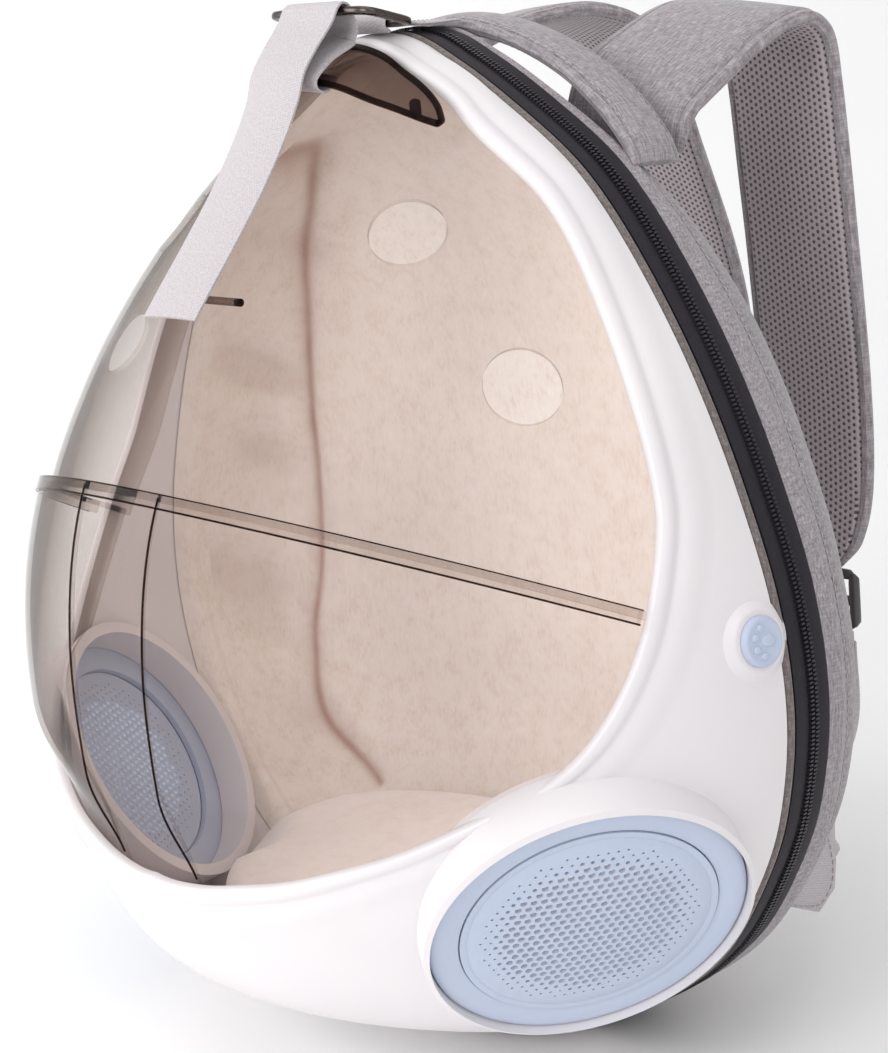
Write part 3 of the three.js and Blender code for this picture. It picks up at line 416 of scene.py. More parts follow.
class Paint:
    """A Principled material with a few shorthands for its nodes."""

    def __init__(self, name, **sockets):
        self.mat = bpy.data.materials.new(name)
        self.mat.use_nodes = True
        self.tree = self.mat.node_tree
        self.main = self.tree.nodes["Principled BSDF"]
        for key, value in sockets.items():
            self.main.inputs[key.replace("_", " ")].default_value = value

    def node(self, kind, **values):
        n = self.tree.nodes.new(kind)
        for key, value in values.items():
            if hasattr(n, key):
                setattr(n, key, value)
            else:
                n.inputs[key.replace("_", " ")].default_value = value
        return n

    def link(self, a, b):
        self.tree.links.new(a, b)

    def coords(self, uv=False, scale=(1, 1, 1), turn=(0, 0, 0)):
        tex = self.node("ShaderNodeTexCoord")
        m = self.node("ShaderNodeMapping")
        m.inputs["Scale"].default_value = scale
        m.inputs["Rotation"].default_value = turn
        self.link(tex.outputs["UV" if uv else "Object"], m.inputs["Vector"])
        return m.outputs["Vector"]

    def noise(self, vector, scale, detail=3.0, rough=0.5, distortion=0.0):
        n = self.node("ShaderNodeTexNoise")
        n.inputs["Scale"].default_value = scale
        n.inputs["Detail"].default_value = detail
        n.inputs["Roughness"].default_value = rough
        n.inputs["Distortion"].default_value = distortion
        self.link(vector, n.inputs["Vector"])
        return n.outputs["Fac"]

    def math(self, op, a, b=None, clamp=False):
        n = self.node("ShaderNodeMath")
        n.operation, n.use_clamp = op, clamp
        for i, v in enumerate((a, b)):
            if v is None:
                continue
            if isinstance(v, (int, float)):
                n.inputs[i].default_value = v
            else:
                self.link(v, n.inputs[i])
        return n.outputs[0]

    def dot(self, vector, direction):
        n = self.node("ShaderNodeVectorMath")
        n.operation = "DOT_PRODUCT"
        self.link(vector, n.inputs[0])
        n.inputs[1].default_value = direction
        return n.outputs["Value"]

    def ramp(self, fac, stops):
        n = self.node("ShaderNodeValToRGB")
        while len(n.color_ramp.elements) < len(stops):
            n.color_ramp.elements.new(0.5)
        for e, (spot, colour) in zip(n.color_ramp.elements, stops):
            e.position, e.color = spot, colour
        self.link(fac, n.inputs["Fac"])
        return n.outputs["Color"]

    def blend(self, fac, a, b):
        n = self.node("ShaderNodeMix")
        n.data_type = "RGBA"
        for socket, v in ((n.inputs[0], fac), (n.inputs[6], a), (n.inputs[7], b)):
            if isinstance(v, (int, float, tuple)):
                socket.default_value = v
            else:
                self.link(v, socket)
        return n.outputs[2]

    def colour(self, value):
        self.link(value, self.main.inputs["Base Color"])

    def rough(self, fac, low, high):
        n = self.node("ShaderNodeMapRange")
        n.inputs["To Min"].default_value, n.inputs["To Max"].default_value = low, high
        self.link(fac, n.inputs["Value"])
        self.link(n.outputs["Result"], self.main.inputs["Roughness"])

    def bump(self, height, distance, strength):
        n = self.node("ShaderNodeBump")
        n.inputs["Strength"].default_value = strength
        n.inputs["Distance"].default_value = distance
        self.link(height, n.inputs["Height"])
        self.link(n.outputs["Normal"], self.main.inputs["Normal"])


def moulded(name, colour, dark, rough, grain=1400, coat=0.0):
    """Moulded plastic: faint mottling, fine grain and a satin gloss that varies."""
    p = Paint(name, **{"Coat Weight": coat, "Coat Roughness": 0.15, "Specular IOR Level": 0.5})
    v = p.coords()
    p.colour(p.ramp(p.noise(v, 9, 3), [(0.3, dark), (0.7, colour)]))
    p.rough(p.noise(v, 34, 4), rough - 0.05, rough + 0.07)
    p.bump(p.noise(v, grain, 2), 0.00003, 0.35)
    return p.mat


shell_white = moulded("shell_white", srgb(231, 227, 229), srgb(225, 220, 223), 0.34, coat=0.15)
pale_blue = moulded("pale_blue", srgb(192, 202, 222), srgb(184, 194, 215), 0.42, grain=2200)
buckle_black = moulded("buckle_black", srgb(74, 70, 72), srgb(62, 58, 60), 0.38, grain=1800)


def see_through(name, pass_tint, rim_tint, gloss=0.03, ior=1.5):
    """Clear plastic: a tinted pass, darker at the rim, and a gloss by Fresnel on front faces only."""
    p = Paint(name, **{"Roughness": gloss, "IOR": ior, "Specular IOR Level": 0.5,
                       "Base Color": (0.04, 0.034, 0.032, 1)})
    clear = p.node("ShaderNodeBsdfTransparent")
    v = p.coords()
    low = tuple(c * 0.98 for c in pass_tint[:3]) + (1.0,)
    body = p.ramp(p.noise(v, 12, 2), [(0.35, low), (0.65, pass_tint)])
    weight = p.node("ShaderNodeLayerWeight", Blend=0.5)
    edge = p.math("POWER", weight.outputs["Facing"], 3.0, clamp=True)
    p.link(p.blend(edge, body, rim_tint), clear.inputs["Color"])
    fresnel = p.node("ShaderNodeFresnel", IOR=ior)
    back = p.node("ShaderNodeNewGeometry").outputs["Backfacing"]
    mix = p.node("ShaderNodeMixShader")
    front_gloss = p.math("MULTIPLY", fresnel.outputs[0], p.math("SUBTRACT", 1.0, back))
    amount = p.math("MULTIPLY", front_gloss, 1.3, clamp=True)
    p.link(amount, mix.inputs[0])
    p.link(clear.outputs[0], mix.inputs[1])
    p.link(p.main.outputs[0], mix.inputs[2])
    out = p.tree.nodes["Material Output"]
    p.link(mix.outputs[0], out.inputs["Surface"])
    p.bump(p.noise(v, 7, 2, 0.4), 0.002, 0.12)
    return p.mat


clear_smoke = see_through("clear_smoke", srgb(254, 252, 251), srgb(212, 203, 197))
smoky = see_through("smoky_handle", srgb(205, 194, 190), srgb(120, 104, 100), gloss=0.06)
# darker smoky tint: painted shade for the dark-looking edges of the clear parts, the crescent's rim and feet, and the
# peg's tip
smoky_shade = see_through("smoky_shade", srgb(150, 132, 126), srgb(92, 76, 72), gloss=0.08)


def metal(name, colour):
    p = Paint(name, Metallic=1.0)
    v = p.coords()
    p.colour(p.ramp(p.noise(v, 160, 3), [(0.3, tuple(c * 0.75 for c in colour[:3]) + (1.0,)), (0.7, colour)]))
    p.rough(p.noise(v, 420, 4), 0.2, 0.36)
    p.bump(p.noise(v, 900, 2), 0.00003, 0.3)
    return p.mat


gunmetal = metal("gunmetal", srgb(96, 88, 86))


def melange(name, uv=False, dark=srgb(118, 110, 114), mid=srgb(150, 143, 147), light=srgb(186, 180, 184)):
    """Heathered polyester: fine streaks of darker and lighter yarn along the thread, over a plain weave."""
    p = Paint(name, **{"Sheen Weight": 0.25, "Sheen Roughness": 0.5, "Specular IOR Level": 0.2})
    stretch = (1500, 170, 1500) if uv else (1500, 1500, 210)
    v = p.coords(uv, stretch)
    w = p.coords(uv, (260, 1200, 260) if uv else (240, 240, 1400))
    streak = p.noise(v, 1.0, 3, 0.6)
    cross = p.noise(w, 1.0, 3, 0.6)
    soft = p.noise(p.coords(uv), 30, 3)
    tone = p.math("ADD", p.math("MULTIPLY", streak, 0.62), p.math("MULTIPLY", cross, 0.38))
    p.colour(p.blend(p.math("MULTIPLY", soft, 0.22), p.ramp(tone, [(0.36, dark), (0.5, mid), (0.66, light)]), mid))
    p.main.inputs["Roughness"].default_value = 0.92
    p.rough(tone, 0.84, 0.96)
    p.bump(tone, 0.0005, 0.5)
    return p.mat


melange_body = melange("melange_body")
melange_strap = melange("melange_strap", uv=True)
piping_grey = melange("piping_grey", dark=srgb(92, 84, 82), mid=srgb(112, 104, 102), light=srgb(146, 138, 136))


def air_mesh(name, light=srgb(190, 180, 183), dark=srgb(92, 80, 84), pitch=3.0):
    """Spacer mesh: a hexagon lattice of small holes in soft knitted cloth, with painted shade in the holes."""
    p = Paint(name, **{"Sheen Weight": 0.3, "Specular IOR Level": 0.2})
    v = p.coords(True)
    k = 2 * math.pi / (pitch * 0.001) * 2 / math.sqrt(3)
    total = None
    for turn in (0, 60, 120):
        a = math.radians(turn)
        wave = p.math("COSINE", p.dot(v, (k * math.cos(a), k * math.sin(a), 0)))
        total = wave if total is None else p.math("ADD", total, wave)
    thread = p.noise(p.coords(True, (1, 1, 1)), 1800, 3)
    hole = p.math("ADD", total, p.math("MULTIPLY", thread, 0.9))
    base = p.ramp(thread, [(0.3, tuple(c * 0.8 for c in light[:3]) + (1.0,)), (0.7, light)])
    # painted shade: the holes take the dark colour
    hole_shade = p.ramp(p.math("MULTIPLY", hole, 0.25), [(0.2, (0, 0, 0, 1)), (0.45, (1, 1, 1, 1))])
    p.colour(p.blend(hole_shade, base, dark))
    p.main.inputs["Roughness"].default_value = 0.95
    p.rough(thread, 0.88, 0.98)
    p.bump(p.math("MULTIPLY", hole, -0.2), 0.001, 0.6)
    return p.mat


mesh_cloth = air_mesh("air_mesh")


def webbing_cloth(name, light=srgb(200, 194, 197), dark=srgb(174, 168, 172)):
    """Woven webbing: ribs across with a fine twill along."""
    p = Paint(name, **{"Sheen Weight": 0.15, "Specular IOR Level": 0.25})
    v = p.coords(True)
    ribs = p.math("SINE", p.dot(v, (2 * math.pi / 0.0034, 2 * math.pi / 0.0011, 0)))
    twill = p.math("SINE", p.dot(v, (2 * math.pi / 0.0009, -2 * math.pi / 0.0016, 0)))
    fuzz = p.noise(v, 900, 3)
    tone = p.math("ADD", p.math("MULTIPLY", p.math("ADD", ribs, twill), 0.12), fuzz)
    p.colour(p.ramp(tone, [(0.25, dark), (0.75, light)]))
    p.main.inputs["Roughness"].default_value = 0.75
    p.rough(fuzz, 0.68, 0.85)
    p.bump(tone, 0.0004, 0.5)
    return p.mat


webbing_grey = webbing_cloth("webbing_grey")
thread_grey = webbing_cloth("thread_grey", srgb(196, 189, 192), srgb(168, 160, 164))


def zip_cloth(name):
    p = Paint(name, **{"Specular IOR Level": 0.3, "Sheen Weight": 0.05})
    v = p.coords()
    fine = p.noise(v, 1600, 3)
    p.colour(p.ramp(fine, [(0.3, srgb(20, 17, 23)), (0.75, srgb(44, 38, 47))]))
    p.rough(fine, 0.55, 0.8)
    p.bump(fine, 0.0003, 0.5)
    return p.mat


zip_black = zip_cloth("zip_black")
coil_black = moulded("coil_black", srgb(38, 33, 41), srgb(22, 19, 25), 0.35, grain=2600)


def plush(name, light=srgb(252, 247, 243), mid=srgb(246, 237, 230), dark=srgb(226, 208, 197)):
    """Short-pile plush: a fibrous nap brushed downward with soft worn patches, and painted shade from the groove
    attribute.
    """
    p = Paint(name, **{"Sheen Weight": 0.5, "Sheen Roughness": 0.6, "Specular IOR Level": 0.15})
    nap = p.noise(p.coords(False, (900, 900, 260)), 1.0, 4, 0.65)
    fluff = p.noise(p.coords(), 120, 5, 0.7)
    patch = p.noise(p.coords(), 16, 3, 0.6, 0.6)
    tone = p.math("ADD", p.math("MULTIPLY", nap, 0.45), p.math("MULTIPLY", fluff, 0.55))
    base = p.ramp(tone, [(0.3, dark), (0.5, mid), (0.68, light)])
    worn = p.blend(p.math("MULTIPLY", patch, 0.5), base, mid)
    # painted shade: the groove attribute darkens the colour along the lining's sewn corner and in its fold hollows
    shade = p.node("ShaderNodeAttribute", attribute_name="groove").outputs["Fac"]
    p.colour(p.blend(shade, worn, srgb(176, 138, 126)))
    p.main.inputs["Roughness"].default_value = 1.0
    p.rough(tone, 0.93, 1.0)
    p.bump(tone, 0.0011, 0.55)
    return p.mat


plush_beige = plush("plush_beige")
plush_floor = plush("plush_floor", srgb(252, 246, 243), srgb(247, 237, 232), srgb(230, 213, 205))


def enlist(obj, nodes):
    """Puts a piece on the one body and hides the nodes that it stands for."""
    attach(obj, "root")
    if nodes:
        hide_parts(*nodes)
    return obj


def finish(obj, mat, slot, *nodes):
    obj.data.materials.clear()
    return enlist(painted(obj, mat), nodes)


def finish_parts(name, parts, slot, *nodes):
    return enlist(join(name, parts), nodes)


# ---------------------------------------------------------------- hard front
def vent_place(side):
    return seat(side * 148, 101, 0.08)


def button_place(side):
    return seat(side * float(half_width(PIVOT_RISE)) * 0.997, PIVOT_RISE)


def shell_front():
    a = around_circle(288)
    lip, per = lip_turn(a), turn_per_mm(a)
    back = lambda mm: lip - mm * per
    rows = [skin(a, (lip - 26 * per) * s, 0.0) for s in np.linspace(0, 1, 34)]
    # the rolled lip: millimetres out from its edge, lift
    lips = [(23, 0.15), (20, 0.5), (17, 0.75), (14, 0.75), (11.5, 0.5), (9.5, 0.25), (8.2, 0.25), (7.2, 0.7),
            (6.0, 1.25), (4.6, 1.5), (3.0, 1.5), (1.8, 1.3), (0.9, 0.8), (0.3, 0.1), (0, -0.8), (0, -2.2), (0.3, -3)]
    rows += [skin(a, back(mm), lift) for mm, lift in lips]
    rows += [skin(a, back(12) * s, -SHELL_WALL) for s in np.linspace(1, 0, 14)]
    body = grid("shell_front_skin", np.array(rows), wrap_rows=True, wrap_cols=True, sharp=40)
    cut_out(body, [rod("cut", vent_place(side), RING_RADIUS + GAP, -30, 30, 96) for side in (1, -1)])
    r, low = RING_RADIUS, -SEAT_SINK
    wall = [(r + 2.6, -2.5), (r + 0.5, -1.2), (r + 0.3, low - 0.3), (r - 2.6, low - 0.3), (r - 2.6, low - 16),
            (r + 2.6, low - 16)]
    dome = [(15.5, -1.0), (13.6, 0.15), (12.6, 0.75), (11.8, 1.3), (11.0, 1.5), (0.01, 1.5), (0.01, -1.0)]
    parts = [body]
    for side in (1, -1):
        parts.append(lathe("seat_wall", vent_place(side), wall, 96))
        parts.append(lathe("boss", button_place(side), dome, 64, closed=False))
    finish(join("shell_front_skin", parts), shell_white, "shell", "shell_front")


LIP_UNDER = -SHELL_WALL - CLEAR_GAP
UPPER_UNDER = LIP_UNDER - CLEAR_WALL - CLEAR_GAP
AIR_HOLE, AIR_SPOTS = 14.5, ((70, 352), (124, 299))


def ridge_point(shift):
    """A point and the upward normal of the ridge's plane."""
    t = math.radians(RIDGE_ANGLE)
    n = np.array([0, math.sin(t), math.cos(t)])
    return np.array([0, -PIVOT_DEPTH, PIVOT_RISE]) + n * shift, n


def sheet_cap(name, lip_offset, full):
    """One skin of a cap, to be cut and then walled."""
    a = around_circle(300)
    lip, per = lip_turn(a), turn_per_mm(a)
    rows = []
    steps = [(-TUCK, None), (-8, None), (-4, None)] + [(None, s) for s in np.linspace(0, 0.985, 34) ** 1.15]
    for mm, s in steps:
        turn = lip + mm * per if mm is not None else lip + (math.pi / 2 - lip) * s
        swell = ease((turn - lip) / per / BLEND)
        rows.append(skin(a, turn, lip_offset + (full - lip_offset) * swell))
    obj = grid(name, np.array(rows[::-1]), wrap_cols=True)
    with edited(obj) as bm:
        nose = [e for e in bm.edges if e.is_boundary and e.verts[0].co.y < -0.09]
        bmesh.ops.holes_fill(bm, edges=nose, sides=0)
        bmesh.ops.recalc_face_normals(bm, faces=bm.faces)
        front = min(bm.faces, key=lambda f: f.calc_center_median().y)
        if front.normal.y > 0:
            bmesh.ops.reverse_faces(bm, faces=bm.faces)
    return shade(obj)


def bubbles():
    upper = sheet_cap("bubble_upper_skin", UPPER_UNDER, 0)
    point, n = ridge_point(-RIDGE_TALL / 2)
    cut_plane(upper, point, -n)
    solid(upper, CLEAR_WALL, bevel=0.35)
    holes = [rod("cut", seat(side * x, z), AIR_HOLE, -20, 20, 72) for x, z in AIR_SPOTS for side in (1, -1)]
    cut_out(upper, holes, sharp=30)
    finish(upper, clear_smoke, "clear", "bubble_upper")

    point, n = ridge_point(0)
    # the left side stands for the whole lower bubble's node, the panel for its own
    for name, side, nodes in (("bubble_lower_left_skin", -1, ["bubble_lower"]), ("bubble_lower_right_skin", 1, []),
                              ("bubble_panel_skin", 0, ["bubble_front_panel"])):
        piece = sheet_cap(name, LIP_UNDER, LOWER_STEP)
        cut_plane(piece, point, n)
        if side:
            cut_plane(piece, (side * PANEL_HALF, 0, 0), (-side, 0, 0))
        else:
            cut_plane(piece, (PANEL_HALF - GAP, 0, 0), (1, 0, 0))
            cut_plane(piece, (GAP - PANEL_HALF, 0, 0), (-1, 0, 0))
        solid(piece, CLEAR_WALL, bevel=0.3)
        if side:
            cut_out(piece, [rod("cut", vent_place(side), RING_RADIUS + CLEAR_GAP, -60, 0, 72)], sharp=30)
        finish(piece, clear_smoke, "clear", *nodes)


def rising(xs, rise):
    """How the front surface runs as it rises 1 mm."""
    return np.stack([0 * rise, depth_at(xs, rise - 0.5) - depth_at(xs, rise + 0.5), np.full_like(rise, 1.0)], -1)


def forward_normal(dx, dz):
    n = unit(np.cross(dx, dz))
    return n * np.where(n[:, 1:2] > 0, -1, 1)


def surface_line(xs, plane):
    """Where the front surface meets z = plane[0] - plane[1] * y, for each x, with its outward direction."""
    low, high = np.full_like(xs, 60.0), np.full_like(xs, 330.0)
    for _ in range(40):
        mid = (low + high) / 2
        over = mid > plane[0] + plane[1] * depth_at(xs, mid)
        low, high = np.where(over, low, mid), np.where(over, mid, high)
    p = np.stack([xs, -depth_at(xs, low), low], -1)
    dx = np.stack([np.full_like(xs, 1.0), depth_at(xs - 0.5, low) - depth_at(xs + 0.5, low), 0 * xs], -1)
    return p, forward_normal(dx, rising(xs, low))


def tube(name, line, radius, sides, caps=True):
    """A round cord along a line; radius may change along it."""
    along = unit(np.gradient(line, axis=0))
    ref = np.where(np.abs(along[:, 2:3]) > 0.9, np.array([[1.0, 0, 0]]), np.array([[0, 0, 1.0]]))
    side = unit(np.cross(along, ref))
    up = np.cross(side, along)
    r = np.broadcast_to(np.asarray(radius, float), (len(line),))
    a = around_circle(sides)
    ring = side[:, None] * np.cos(a)[None, :, None] + up[:, None] * np.sin(a)[None, :, None]
    return grid(name, line[:, None] + r[:, None, None] * ring, wrap_cols=True, caps=caps, sharp=60)


def ridge():
    """The flange along the lower bubble's top edge, with thin dark lines at its front corners as painted edge shade."""
    _, plane_n = ridge_point(0)
    xs = 165 * np.sin(np.linspace(-1, 1, 221) * math.pi / 2)
    slope = math.tan(math.radians(RIDGE_ANGLE))
    line, n = surface_line(xs, (PIVOT_RISE - PIVOT_DEPTH * slope, slope))
    out = unit(n - plane_n * np.sum(n * plane_n, -1, keepdims=True))
    section = [(0.5, -0.2), (4.7, 0.0), (5.0, -0.3), (5.1, -2.6), (5.0, -5.2), (4.6, -5.5), (2.4, -5.6), (0.4, -5.3)]
    p = np.stack([line + out * o + plane_n * z for o, z in section], 1)
    parts = [painted(grid("ridge_bar", p, wrap_cols=True, caps=True, sharp=35), clear_smoke)]
    # painted edge shade: thin tubes in the darker smoky tint along the flange's corners
    for o, z, r in ((5.0, -5.4, 0.4), (4.9, -0.15, 0.25)):
        parts.append(painted(tube("ridge_shade_line", line + out * o + plane_n * z, r, 6), smoky_shade))
    finish_parts("bubble_ridge_rim", parts, "clear")


def panel_shade_lines():
    """Thin dark lines along the front strip's edges: painted edge shade."""
    parts = []
    for x in (-PANEL_HALF, PANEL_HALF):
        z = np.linspace(119, 265, 120)
        z = z[z < 193.5 + 0.488 * depth_at(np.full_like(z, x), z)]  # up to 3 mm below the ridge
        xs = np.full_like(z, x)
        line = np.stack([xs, -depth_at(xs, z), z], -1)
        lift = LIP_UNDER + (LOWER_STEP - LIP_UNDER) * ease((z - 117) / 40)
        n = forward_normal([1.0, 0, 0], rising(xs, z))
        parts.append(painted(tube("panel_edge", line + n * (lift[:, None] - 0.2), 0.5, 6), smoky_shade))
    finish_parts("bubble_panel_shade_lines", parts, "clear")


CRESCENT = np.array([  # degrees round from the top, turns of the upper and the lower edge
    (0, 10.4, 21), (4, 10.4, 20.6), (8, 10.5, 19.8), (11.5, 11.4, 18.6), (14.5, 13, 17.2), (16.4, 14.8, 15.9)])


def crescent():
    """The smoky half-moon latch handle: a thick rounded rim, dark with painted edge shade, round a thinner clear web.
    """
    stops = np.sin(np.linspace(-1, 1, 61) * math.pi / 2) * CRESCENT[-1, 0]
    top = np.radians(hermite(CRESCENT[:, 0], CRESCENT[:, 1], np.abs(stops)))
    low = np.radians(hermite(CRESCENT[:, 0], CRESCENT[:, 2], np.abs(stops)))
    around = np.radians(stops) % (2 * math.pi)
    shares = [0.03, 0.1, 0.18, 0.3, 0.5, 0.7, 0.82, 0.9, 0.97]
    high = [2.9, 3.3, 3.0, 2.5, 2.4, 2.5, 3.0, 3.3, 2.9]
    deep = [0.6, 0.3, 0.5, 0.9, 1.0, 0.9, 0.5, 0.3, 0.6]
    ring = [(s, h) for s, h in zip(shares, high)] + [(s, d) for s, d in zip(shares[::-1], deep[::-1])]
    p = np.stack([skin(around, top + (low - top) * s, o) for s, o in ring], 1)
    web = grid("web", p, wrap_cols=True, caps=True, sharp=60)
    loop = np.concatenate([skin(around, top + (low - top) * 0.03, 1.8),
                           skin(around[::-1], (low - (low - top) * 0.03)[::-1], 1.8)])
    # the rim's darker smoky tint is painted edge shade
    rim = tube("rim", np.concatenate([loop, loop[:1]]), 1.35, 10, caps=False)
    parts = [painted(web, smoky), painted(rim, smoky_shade)]
    foot_x, _, foot_rise = skin(np.array(math.radians(12.6)), np.array(math.radians(15.2)))
    for side in (1, -1):
        foot = rod("foot", seat(side * float(foot_x), float(foot_rise)), 2.2, -4.6, 1.5, 24)
        parts.append(painted(foot, smoky_shade))
    finish_parts("latch_handle_skin", parts, "smoky", "latch_handle")


# ---------------------------------------------------------------- vents and buttons
def vents():
    for side, name in ((1, "right"), (-1, "left")):
        place = vent_place(side)
        r, w, top = RING_RADIUS, RING_WIDTH, RING_WALL - SEAT_SINK
        ring = lathe("vent_ring_%s_skin" % name, place, [
            (r, -SEAT_SINK), (r, top - 1.9), (r - 0.25, top - 1.2), (r - 0.8, top - 0.55), (r - 1.8, top - 0.15),
            (r - 3.0, top), (r - w + 2.2, top - 0.25), (r - w + 1.5, top - 0.5), (r - w + 0.9, top - 0.35),
            (r - w + 0.2, top - 0.6), (r - w, top - 1.2), (r - w, top - 2.3), (r - w - 2.5, top - 2.3),
            (r - w - 2.5, -SEAT_SINK)], 160)
        finish(ring, pale_blue, "pale_blue", "vent_ring_%s" % name)
        grille(place, "vent_grille_%s" % name, r - w - 0.3, top)


def grille(place, name, radius, top):
    """A thin pierced disc: hexagon cells, each with a round hole, wide inside and fine in the outer rows."""
    point, side, up, n = place
    pitch, dome, margin, wall = 3.75, 2.5, 7.4, 1.8
    verts, faces, index = [], [], {}

    def level(x, y):
        return top + dome * (1 - (x * x + y * y) / radius**2)

    def vert(x, y):
        key = (round(x, 3), round(y, 3))
        if key not in index:
            index[key] = len(verts)
            verts.append(point + side * x + up * y + n * level(x, y))
        return index[key]

    corner = pitch / math.sqrt(3)
    cells, span = [], int(radius / pitch) + 2
    for j in range(-span, span + 1):
        for i in range(-span - abs(j), span + abs(j) + 1):
            x, y = pitch * (i + 0.5 * (j % 2)), pitch * math.sqrt(3) / 2 * j
            if math.hypot(x, y) < radius - margin:
                cells.append((x, y))
    edge_use = {}
    for x, y in cells:
        far = math.hypot(x, y)
        hole = 1.36 if far < radius - 16 else (0.85 if far < radius - 12 else 0.5)
        corners = [(x + corner * math.cos(math.radians(30 + 60 * k)),
                    y + corner * math.sin(math.radians(30 + 60 * k))) for k in range(6)]
        mids = [((c0 + d0) / 2, (c1 + d1) / 2) for (c0, c1), (d0, d1) in zip(corners, corners[1:] + corners[:1])]
        outer = []
        for k in range(6):
            outer += [vert(*corners[k]), vert(*mids[k])]
        inner = []
        for k in range(12):
            ang = math.radians(30 + 30 * k)
            inner.append(len(verts))
            hx, hy = x + hole * math.cos(ang), y + hole * math.sin(ang)
            verts.append(point + side * hx + up * hy + n * level(hx, hy))
        for k in range(12):
            m = (k + 1) % 12
            faces.append((outer[k], outer[m], inner[m], inner[k]))
            edge = tuple(sorted((outer[k], outer[m])))
            edge_use[edge] = edge_use.get(edge, 0) + 1
    # a plain margin joins the pierced field to the ring
    rim_edges = [e for e, c in edge_use.items() if c == 1]
    follow = {}
    for a, b in rim_edges:
        follow.setdefault(a, []).append(b)
        follow.setdefault(b, []).append(a)
    start = rim_edges[0][0]
    chain, before, here = [start], None, start
    while True:
        nxt = [v for v in follow[here] if v != before]
        before, here = here, nxt[0]
        if here == start:
            break
        chain.append(here)
    flat = []
    for v in chain:
        d = verts[v] - point
        flat.append((float(d @ side), float(d @ up)))
    rings = [chain]
    for scale_to in (radius - 3.4, radius - 2.7, radius - 2.1, radius):
        ring_ids = []
        for x, y in flat:
            ang = math.atan2(y, x)
            hx, hy = scale_to * math.cos(ang), scale_to * math.sin(ang)
            drop = -0.35 if abs(scale_to - (radius - 2.7)) < 0.01 else 0.0
            ring_ids.append(len(verts))
            verts.append(point + side * hx + up * hy + n * (level(hx, hy) + drop))
        rings.append(ring_ids)
    m = len(chain)
    for r0, r1 in zip(rings, rings[1:]):
        for k in range(m):
            faces.append((r0[k], r0[(k + 1) % m], r1[(k + 1) % m], r1[k]))
    disc = make(name + "_skin", np.array(verts), faces)
    outward(disc)
    with edited(disc) as bm:
        bm.faces.ensure_lookup_table()
        if bm.faces[0].normal.dot(Vector(n)) < 0:
            bmesh.ops.reverse_faces(bm, faces=bm.faces)
    solid(disc, wall, sharp=40)
    finish(disc, pale_blue, "pale_blue", name)


# the pads of the paw, the heel first: place and radius as shares of the cap's radius
PAW = ((0.24, 0, 0.3), (-0.1, 0.55, 0.15), (-0.42, 0.24, 0.16), (-0.42, -0.24, 0.16), (-0.1, -0.55, 0.15))


def paw_buttons():
    for side, name in ((1, "right"), (-1, "left")):
        place = button_place(side)
        r, low = 9.3, 1.8
        cap = lathe("cap", place, [(0.01, low + 2.2), (r - 2.6, low + 2.2), (r - 2.0, low + 2.35), (r - 1.2, low + 2.5),
                                   (r - 0.5, low + 2.2), (r, low + 1.5), (r, low), (0.01, low)], 72, closed=False)
        parts = [painted(cap, pale_blue)]
        point, s, u, n = place
        for k, (x, y, pad) in enumerate(PAW):
            x, y, pad = side * x * r, y * r, pad * r
            a = around_circle(28)
            rows = []
            for f, h in ((1, 2.1), (0.96, 2.5), (0.85, 2.8), (0.6, 3.0), (0.02, 3.05)):
                shape = 1.0 if k else 1 + 0.14 * np.cos(2 * a) - 0.1 * side * np.cos(a) * np.cos(2 * a)
                stretch = 1.0 if k == 0 else 1.12
                rows.append(point + s * (x + stretch * pad * f * shape * np.cos(a))[:, None]
                            + u * (y + pad * f * shape * np.sin(a))[:, None] + n * (low + h - 0.1))
            parts.append(painted(grid("pad", np.array(rows), wrap_cols=True, caps=True, sharp=50), pale_blue))
        finish_parts("paw_button_%s_skin" % name, parts, "pale_blue", "paw_button_%s" % name)


# ---------------------------------------------------------------- seam belt
def seam(section, name):
    """A band round the seam; the section is (inset, depth) in millimetres."""
    a = around_circle(360)
    rows = []
    for inset, depth in section:
        p = skin(a, np.zeros_like(a), -inset, "front", depth)
        p[:, 2] = np.maximum(p[:, 2], FLOOR_CUT + 1.5 + inset)
        rows.append(p)
    return grid(name, np.array(rows), wrap_rows=True, wrap_cols=True, sharp=50)


